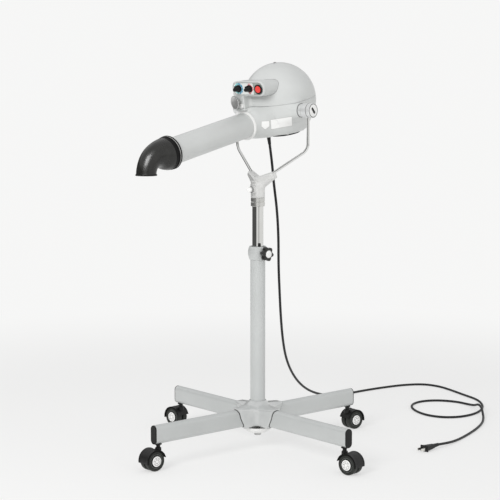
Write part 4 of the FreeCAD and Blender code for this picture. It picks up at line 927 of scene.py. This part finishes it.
def slab(name, outline, y_back, y_front, key, edge=0.25, place=HEAD):
    """Flat plate in the head's XZ plane; outline is a closed list of (x, z), y_front nearer the viewer."""
    pts = list(outline)
    area2 = sum(a[0] * b[1] - b[0] * a[1] for a, b in zip(pts, pts[1:] + pts[:1]))
    if area2 < 0:
        pts.reverse()
    n = len(pts)
    inner = []
    for i in range(n):
        p, q, r = Vector(pts[i - 1]), Vector(pts[i]), Vector(pts[(i + 1) % n])
        d1, d2 = (q - p).normalized(), (r - q).normalized()
        n1, n2 = Vector((-d1.y, d1.x)), Vector((-d2.y, d2.x))
        w = n1 + n2
        w = w / max(w.dot(n1), 0.3)
        inner.append(q + w * edge)
    verts, rings = [], []
    for ring, y in ((pts, y_back), (pts, y_front + edge), (inner, y_front)):
        rings.append(range(len(verts), len(verts) + n))
        verts += [(p[0], y, p[1]) for p in ring]
    faces = []
    for a, b in zip(rings, rings[1:]):
        for k in range(n):
            faces.append((a[k], a[(k + 1) % n], b[(k + 1) % n], b[k]))
    faces.append(list(rings[2]))
    faces.append(list(reversed(rings[0])))
    return mesh_of(name, verts, faces, key, place, sharp=20)


def arc_pts(cx, cz, r, a0, a1, n):
    return [(cx + r * math.cos(math.radians(a0 + (a1 - a0) * i / n)),
             cz + r * math.sin(math.radians(a0 + (a1 - a0) * i / n))) for i in range(n + 1)]


def oval(inset, x_cut=None):
    r = 15.5 - inset
    left = arc_pts(-31.9, 71.2, r, 90, 270, 20)
    if x_cut is None:
        return left + arc_pts(33.1, 71.2, r, -90, 90, 20)
    return left + [(x_cut, 71.2 - r), (x_cut + 1.6, 71.2), (x_cut, 71.2 + r)]


def oval_right(inset, x_cut):
    r = 15.5 - inset
    return [(x_cut, 71.2 + r), (x_cut + 1.6, 71.2), (x_cut, 71.2 - r)] + arc_pts(33.1, 71.2, r, -90, 90, 20)


base_plate = slab("panel_border", oval(0), FACE, FACE - 1.3, "border")
stand_in(base_plate, "head", "control_panel")
pale = slab("panel_pale_field", oval(0.9, 19.0), FACE - 1.0, FACE - 1.6, "palefield")
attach(pale, "head")
grey_f = slab("panel_grey_field", oval_right(0.9, 19.6), FACE - 1.0, FACE - 1.6, "greyfield")
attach(grey_f, "head")


def ring_sector(name, cx, cz, r0, r1, a0, a1, y, key, n=18):
    pts = arc_pts(cx, cz, r1, a0, a1, n) + arc_pts(cx, cz, r0, a1, a0, n)
    verts = [(p[0], FACE - 1.4, p[1]) for p in pts] + [(p[0], y, p[1]) for p in pts]
    m = len(pts)
    half = n + 1
    faces = []
    for k in range(n):
        a, b, c, d = k, k + 1, m - 2 - k, m - 1 - k
        faces.append((m + a, m + b, m + c, m + d))
        faces.append((d, c, b, a))
    for k in range(m):
        faces.append((k, (k + 1) % m, m + (k + 1) % m, m + k))
    o = mesh_of(name, verts, faces, key, HEAD, smooth=False)
    bm = bmesh.new()
    bm.from_mesh(o.data)
    bmesh.ops.recalc_face_normals(bm, faces=bm.faces[:])
    bm.to_mesh(o.data)
    bm.free()
    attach(o, "head")
    return o


ring_sector("dial_ring_cool", -28.0, 72.0, 9.6, 14.0, 95, 265, FACE - 1.9, "teal")
ring_sector("dial_ring_deep", -28.0, 72.0, 9.6, 14.0, -85, 95, FACE - 1.9, "blue")
ticks = []
for k in range(9):
    a = -60 + 37.5 * k
    ticks.append(ring_sector("dial_tick_%d" % k, -28.0, 72.0, 11.4, 13.4, a - 2.6, a + 2.6, FACE - 2.05,
                             "white", 2))
DX, DZ = 8.0, 72.0


def diamond(r):
    return [(DX + r, DZ), (DX, DZ + r), (DX - r, DZ), (DX, DZ - r)]


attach(slab("heat_diamond", diamond(15.0), FACE - 1.4, FACE - 1.95, "white"), "head")
for i, (r, w) in enumerate(((13.2, 0.62), (11.0, 0.5))):
    pts = diamond(r)
    for j in range(4):
        a, b = Vector(pts[j]), Vector(pts[(j + 1) % 4])
        d = (b - a).normalized() * w
        q = Vector((-d.y, d.x))
        bar = slab("heat_mark_%d%d" % (i, j), [tuple(a - d + q), tuple(a - d - q), tuple(b + d - q), tuple(b + d + q)],
                   FACE - 1.7, FACE - 2.15, "redmark" if i == 0 else "pinkmark", 0.06)
        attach(bar, "head")

# ---- small things on the head
NOSE = HEAD @ Matrix.Translation((-28 * MM, -79 * MM, 27 * MM)) @ Matrix.Rotation(math.radians(90), 4, "X")
boss = lathe("neck_boss", [(0, -0.5), (6.4, -0.5), (6.4, 2.6), (5.9, 3.6), (4.6, 4.3), (2.4, 4.6), (0, 4.7)], "white", NOSE, 40)
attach(boss, "head")
GL_M = HEAD @ Matrix.Translation((-10 * MM, -13 * MM, -87 * MM))
relief = lathe("cord_relief", [(3.3, 0.0), (3.9, 0.3), (4.1, 6.0), (4.0, 6.4), (4.25, 7.0), (4.4, 12.0), (4.3, 12.4),
                               (4.6, 13.0), (4.9, 19.5), (6.2, 20.4), (6.4, 24.0), (3.3, 24.0)], "black", GL_M, 40)
stand_in(relief, "head", "cord_gland")

# ---- right tilt knob's slot mark, and painted shadow lines at the joints between the turned pieces of the pivot
PIVOT = Matrix.Translation((0, 0.053, 0.868))


def side_bar(name, x0, x1, length, width, angle, key, r=1.2):
    pts = []
    hx, hy = width / 2 - r, length / 2 - r
    for cx, cy, a0 in ((hx, hy, 0), (-hx, hy, 90), (-hx, -hy, 180), (hx, -hy, 270)):
        pts += [(cx + r * math.cos(math.radians(a0 + t)), cy + r * math.sin(math.radians(a0 + t))) for t in (0, 30, 60, 90)]
    c, s_ = math.cos(math.radians(angle)), math.sin(math.radians(angle))
    pts = [(p[0] * c - p[1] * s_, p[0] * s_ + p[1] * c) for p in pts]
    n = len(pts)
    verts = [(x0, p[0], p[1]) for p in pts] + [(x1, p[0], p[1]) for p in pts]
    faces = [(k, (k + 1) % n, n + (k + 1) % n, n + k) for k in range(n)]
    faces += [list(range(n, 2 * n)), list(reversed(range(n)))]
    return mesh_of(name, verts, faces, key, PIVOT, sharp=40)


mark = side_bar("tilt_knob_mark", 134.6, 136.0, 18.0, 6.6, 40.0, "mark", 2.0)
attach(mark, "tilt_knob_right")
disc_m = PIVOT @ Matrix.Rotation(math.radians(90), 4, "Y")
face_disc = lathe("tilt_knob_face", [(0, 134.6), (15.6, 134.6), (16.2, 135.2), (15.6, 135.62), (14.4, 135.68), (0, 135.68)],
                  "whiteface", disc_m, 64)
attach(face_disc, "tilt_knob_right")
# painted shadow lines: dark rings in the pivot's joints and round the knob's face
for name, x, r, body in (("pivot_gap_shade_inner", 97.2, 16.9, "head"), ("pivot_gap_shade_middle", 107.75, 16.6, "head"),
                         ("pivot_gap_shade_outer", 124.45, 17.7, "yoke"), ("knob_face_shade_line", 135.35, 16.2, "tilt_knob_right")):
    pts = [(x, r * math.cos(2 * math.pi * k / 48), r * math.sin(2 * math.pi * k / 48)) for k in range(48)]
    o = tube_piece(name, pts, 0.8, "linegrey", 8, True, PIVOT)
    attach(o, body)

# ---- the tube clamp's knob: a thin disc on a short neck, its axis leaning outwards
lean = Vector((math.sin(math.radians(-17.0)), -math.cos(math.radians(-17.0)), 0.0))
disc = lathe("lock_disc", [(0, -0.4), (5.5, -0.4), (5.5, 9.6), (16.4, 9.6), (17.4, 10.2), (17.6, 11.8), (17.0, 12.6),
                           (15.9, 12.9), (14.9, 12.5), (0, 12.4)], "discgrey",
             HEAD @ frame_at(Vector((-36.0, -79.0, 37.7)), lean), 72)
stand_in(disc, "tube_lock_knob", "tube_lock_knob")

# ---- star knob: rounded lobes round a hub, turned to the knob's own axis
STAR = BASE @ Matrix.Translation((0, 0, 507 * MM)) @ Matrix.Rotation(math.radians(90), 4, "Y")


def star(a, r, h):
    if r < 9.5:
        return 1.0
    w = 0.5 + 0.5 * math.cos(6 * (a - math.radians(90 - 12)))
    return 1.075 - 0.30 * (1.0 - w ** 0.8)


grip = lathe("star_grip", [(4.0, 27.7), (8.6, 27.7), (9.4, 28.0), (15.0, 28.3), (17.0, 29.3), (17.7, 31.2), (17.7, 38.2),
                           (17.2, 40.4), (15.8, 41.8), (13.4, 42.4), (10.2, 42.5), (9.2, 42.2), (9.1, 41.3), (4.0, 41.3)],
             "starblack", STAR, 144, 50, star)
stand_in(grip, "height_knob", "height_knob")
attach(lathe("star_stud", [(0, 14.6), (3.9, 14.6), (3.9, 40.0), (0, 40.0)], "steel", STAR, 32), "height_knob")
cap2 = lathe("star_cap", [(0, 41.3), (8.8, 41.3), (8.9, 42.7), (8.2, 43.5), (5.6, 44.1), (0, 44.3)], "whiteface", STAR, 48)
stand_in(cap2, "height_knob", "height_knob_cap")
o = tube_piece("star_trim", [(9.5 * math.cos(2 * math.pi * k / 40), 9.5 * math.sin(2 * math.pi * k / 40), 42.35)
                             for k in range(40)], 0.6, "trim", 8, True, STAR)
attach(o, "height_knob")

# ---- casters: turned wheels, white caps with rings, arched hoods with a flange down each side
TRAIL = {"front_left": -8.4, "front_right": 90.5, "back_right": 168.0, "back_left": 267.0}
LEG_ANGLE = {"front_left": 0, "front_right": 90, "back_right": 180, "back_left": 270}
TYRE = [(3.1, 2.9), (23.4, 2.9), (24.6, 3.5), (25.0, 4.8), (25.0, 13.6), (24.8, 15.0), (24.0, 16.4), (22.8, 17.1),
        (20.6, 17.3), (19.8, 16.9), (19.3, 16.1), (15.3, 15.9), (14.6, 16.7), (14.3, 17.6), (13.7, 17.9), (3.1, 17.9)]
CAPS = [(0, 17.2), (12.7, 17.2), (12.9, 18.1), (12.5, 18.8), (11.6, 19.1), (10.2, 19.2), (9.8, 18.6), (9.1, 18.6),
        (8.7, 19.2), (5.4, 19.4), (5.0, 18.8), (4.3, 18.8), (3.9, 19.4), (0, 19.5)]
ARCH = [(-18.9, 24.7), (-18.9, 27.8), (-18.3, 28.5), (-17.2, 28.5), (-16.6, 27.9), (-15.8, 27.7), (-8.0, 27.9),
        (0.0, 28.0), (8.0, 27.9), (15.8, 27.7), (16.6, 27.9), (17.2, 28.5), (18.3, 28.5), (18.9, 27.8), (18.9, 24.7),
        (17.8, 24.7), (17.6, 26.1), (0.0, 26.2), (-17.6, 26.1), (-17.8, 24.7)]


def hood_mesh(name, place):
    """Arch over both wheels; its flanges run out to a point above the front of the wheels."""
    verts, rings, faces = [], [], []
    for t in [14.0, 15.0, 17.0, 20.0] + list(np.linspace(24.0, 184.0, 49)) + [187.5, 189.0, 189.6]:
        pull = max(0.0, (22.0 - t) / 8.0)
        end = max(0.0, (t - 187.0) / 2.6) * 0.5 + max(0.0, (15.0 - t)) * 0.5
        row = []
        for x, r in ARCH:
            if r < 26.0:
                r = r + 2.6 * pull
            r = r + (27.0 - r) * 0.5 * end + 0.7 * pull ** 2
            row.append(len(verts))
            verts.append((x * (1 - 0.02 * end), r * math.cos(math.radians(t)), r * math.sin(math.radians(t))))
        rings.append(row)
    n = len(ARCH)
    for p, q in zip(rings, rings[1:]):
        for k in range(n):
            faces.append((p[k], p[(k + 1) % n], q[(k + 1) % n], q[k]))
    faces += [list(reversed(rings[0])), list(rings[-1])]
    o = mesh_of(name, verts, faces, "black", place, sharp=38)
    bm = bmesh.new()
    bm.from_mesh(o.data)
    bmesh.ops.recalc_face_normals(bm, faces=bm.faces[:])
    bm.to_mesh(o.data)
    bm.free()
    return o


def lip_mesh(name, place, side):
    """Dark edge band on the outside of one flange."""
    prof = [(18.5, 25.0), (19.25, 25.0), (19.3, 28.0), (18.5, 28.45)]
    verts, rings, faces = [], [], []
    for t in [14.2, 17.0, 20.0] + list(np.linspace(24.0, 188.6, 50)):
        pull = max(0.0, (22.0 - t) / 8.0)
        row = []
        for x, r in prof:
            if r < 26.0:
                r = r + 2.5 * pull
            row.append(len(verts))
            verts.append((x * side, (r + 0.7 * pull ** 2) * math.cos(math.radians(t)),
                          (r + 0.7 * pull ** 2) * math.sin(math.radians(t))))
        rings.append(row)
    for p, q in zip(rings, rings[1:]):
        for k in range(4):
            faces.append((p[k], p[(k + 1) % 4], q[(k + 1) % 4], q[k]))
    faces += [list(reversed(rings[0])), list(rings[-1])]
    o = mesh_of(name, verts, faces, "hoodlip", place, sharp=38)
    bm = bmesh.new()
    bm.from_mesh(o.data)
    bmesh.ops.recalc_face_normals(bm, faces=bm.faces[:])
    bm.to_mesh(o.data)
    bm.free()
    return o


def web_mesh(name, place):
    """Plate between the two wheels, from the arch down to the axle."""
    pts = [(26.6 * math.cos(math.radians(t)), 26.6 * math.sin(math.radians(t))) for t in np.linspace(15, 189, 48)]
    pts += [(9.0 * math.cos(math.radians(t)), 9.0 * math.sin(math.radians(t))) for t in np.linspace(205, 345, 18)]
    n = len(pts)
    verts = [(x, p[0], p[1]) for x in (-2.2, 2.2) for p in pts]
    faces = [(k, (k + 1) % n, n + (k + 1) % n, n + k) for k in range(n)]
    faces += [list(range(n, 2 * n)), list(reversed(range(n)))]
    return mesh_of(name, verts, faces, "black", place, sharp=40)


for tag, ang in LEG_ANGLE.items():
    a = math.radians(ang) + YAW
    foot = Matrix.Translation((0.321 * math.sin(a), -0.321 * math.cos(a), 0)) @ Matrix.Rotation(math.radians(TRAIL[tag]), 4, "Z")
    axle = foot @ Matrix.Translation((0, -18.0 * MM, 25.0 * MM))
    for i, side in enumerate((1, -1)):
        m = axle @ Matrix.Rotation(math.radians(90 * side), 4, "Y")
        w = lathe("caster_wheel_%s_%d" % (tag, i), TYRE, "wheel", m, 72)
        if i == 0:
            stand_in(w, "wheels_" + tag, "caster_wheels_" + tag)
        else:
            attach(w, "wheels_" + tag)
        c = lathe("wheel_cap_%s_%d" % (tag, i), CAPS, "whiteface", m, 56)
        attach(c, "wheels_" + tag)
        for j, (rr, rx, th) in enumerate(((9.45, 18.75, 0.5), (4.65, 18.95, 0.45), (16.9, 16.15, 0.55))):
            pts = [(rr * math.cos(2 * math.pi * k / 40), rr * math.sin(2 * math.pi * k / 40), rx) for k in range(40)]
            o = tube_piece("cap_ring_%s_%d%d" % (tag, i, j), pts, th, "dimple" if j < 2 else "tyreline", 8, True, m)
            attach(o, "wheels_" + tag)
        for k in range(6):
            t = 2 * math.pi * k / 6 + 0.3
            dot = lathe("cap_dimple_%s_%d%d" % (tag, i, k), [(0, 18.8), (1.15, 18.8), (1.15, 19.42), (0, 19.45)], "dimple",
                        m @ Matrix.Translation((7.1 * MM * math.cos(t), 7.1 * MM * math.sin(t), 0)), 12)
            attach(dot, "wheels_" + tag)
    stand_in(hood_mesh("caster_arch_" + tag, axle), "caster_" + tag, "caster_hood_" + tag)
    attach(web_mesh("caster_web_" + tag, axle), "caster_" + tag)
    for side in (1, -1):
        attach(lip_mesh("caster_lip_%s_%d" % (tag, (1 - side) // 2), axle, side), "caster_" + tag)
    stem = lathe("caster_stem_" + tag, [(0, 44.0), (7.6, 44.0), (8.0, 45.5), (7.7, 53.2), (7.0, 54.2), (5.6, 54.6),
                                        (5.0, 55.2), (5.0, 58.0), (5.4, 58.4), (5.45, 93.0), (0, 93.0)], "black", foot, 48)
    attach(stem, "caster_" + tag)
    pin = lathe("caster_pin_" + tag, [(0, -16.6), (3.0, -16.6), (3.0, 16.6), (0, 16.6)], "steel",
                axle @ Matrix.Rotation(math.radians(90), 4, "Y"), 24)
    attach(pin, "caster_" + tag)

# ---- bare label plates on the bowl, found by casting the camera's rays onto the bowl's field
CAM = Matrix.Translation(cam.location) @ cam.rotation_euler.to_matrix().to_4x4()
TO_HEAD = HEAD.inverted()


def on_bowl(px, py, lift):
    d = CAM.to_3x3() @ Vector(((px - 250.0) / 1500.0, (250.0 - py) / 1500.0, -1.0))
    d = (TO_HEAD.to_3x3() @ d).normalized()
    p0 = (TO_HEAD @ Vector(cam.location)) / MM
    t = 3500.0
    for _ in range(200):
        p = p0 + d * t
        v = float(bowl(np.array([p.x]), np.array([p.y]), np.array([p.z]))[0])
        t += v * 0.85
        if abs(v) < 0.002:
            break
    p = p0 + d * t
    e = 0.05
    g = [float(bowl(np.array([p.x + (i == 0) * e]), np.array([p.y + (i == 1) * e]), np.array([p.z + (i == 2) * e]))[0]) - v
         for i in range(3)]
    return p + Vector(g).normalized() * lift


def plate(name, rows, key, lift, thick=0.5):
    """rows: for each height down the plate, (left point, right point) in the picture."""
    nu = 12
    grid = []
    for (ax_, ay), (bx_, by) in rows:
        grid.append([(ax_ + (bx_ - ax_) * k / nu, ay + (by - ay) * k / nu) for k in range(nu + 1)])
    verts, front, back = [], [], []
    for store, h in ((front, lift), (back, lift - thick)):
        for row in grid:
            line_ids = []
            for q in row:
                line_ids.append(len(verts))
                verts.append(tuple(on_bowl(q[0], q[1], h)))
            store.append(line_ids)
    faces = []
    for j in range(len(grid) - 1):
        for k in range(nu):
            faces.append((front[j][k], front[j + 1][k], front[j + 1][k + 1], front[j][k + 1]))
            faces.append((back[j][k], back[j][k + 1], back[j + 1][k + 1], back[j + 1][k]))
    rim = ([(j, 0) for j in range(len(grid))] + [(len(grid) - 1, k) for k in range(1, nu + 1)] +
           [(j, nu) for j in range(len(grid) - 2, -1, -1)] + [(0, k) for k in range(nu - 1, 0, -1)])
    for (j, k), (j2, k2) in zip(rim, rim[1:] + rim[:1]):
        faces.append((front[j][k], back[j][k], back[j2][k2], front[j2][k2]))
    return mesh_of(name, verts, faces, key, HEAD, smooth=False)


def rows_of(quad, n=8):
    (a, b, c, d) = [Vector(p) for p in quad]      # top left, top right, bottom right, bottom left
    return [(tuple(a + (d - a) * t), tuple(b + (c - b) * t)) for t in np.linspace(0, 1, n)]


shield = [((261.6 - 0.2 * math.sin(math.pi * t), 121.4 + 8.0 * t), (269.2 + 0.2 * math.sin(math.pi * t), 121.0 + 8.0 * t))
          for t in np.linspace(0, 0.62, 7)]
shield += [((261.6 + 3.4 * s_, 126.4 + 3.0 * s_), (269.2 - 3.4 * s_, 126.0 + 3.0 * s_)) for s_ in (0.35, 0.7, 0.92)]
QUAD = [(270.7, 119.9), (291.8, 116.7), (292.0, 125.4), (271.3, 129.2)]


def grown(rows, g):
    cx = sum(p[0] for r in rows for p in r) / (2 * len(rows))
    cy = sum(p[1] for r in rows for p in r) / (2 * len(rows))
    out = []
    for r in rows:
        out.append(tuple((p[0] + math.copysign(g, p[0] - cx), cy + (p[1] - cy) * (1 + 2 * g / 9.0)) for p in r))
    return out


for name, rows in (("label_shield", shield), ("label_strip", rows_of(QUAD))):
    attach(plate(name, rows, "label", 0.45), "head")
    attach(plate(name + "_edge", grown(rows, 0.28), "labeledge", 0.28), "head")
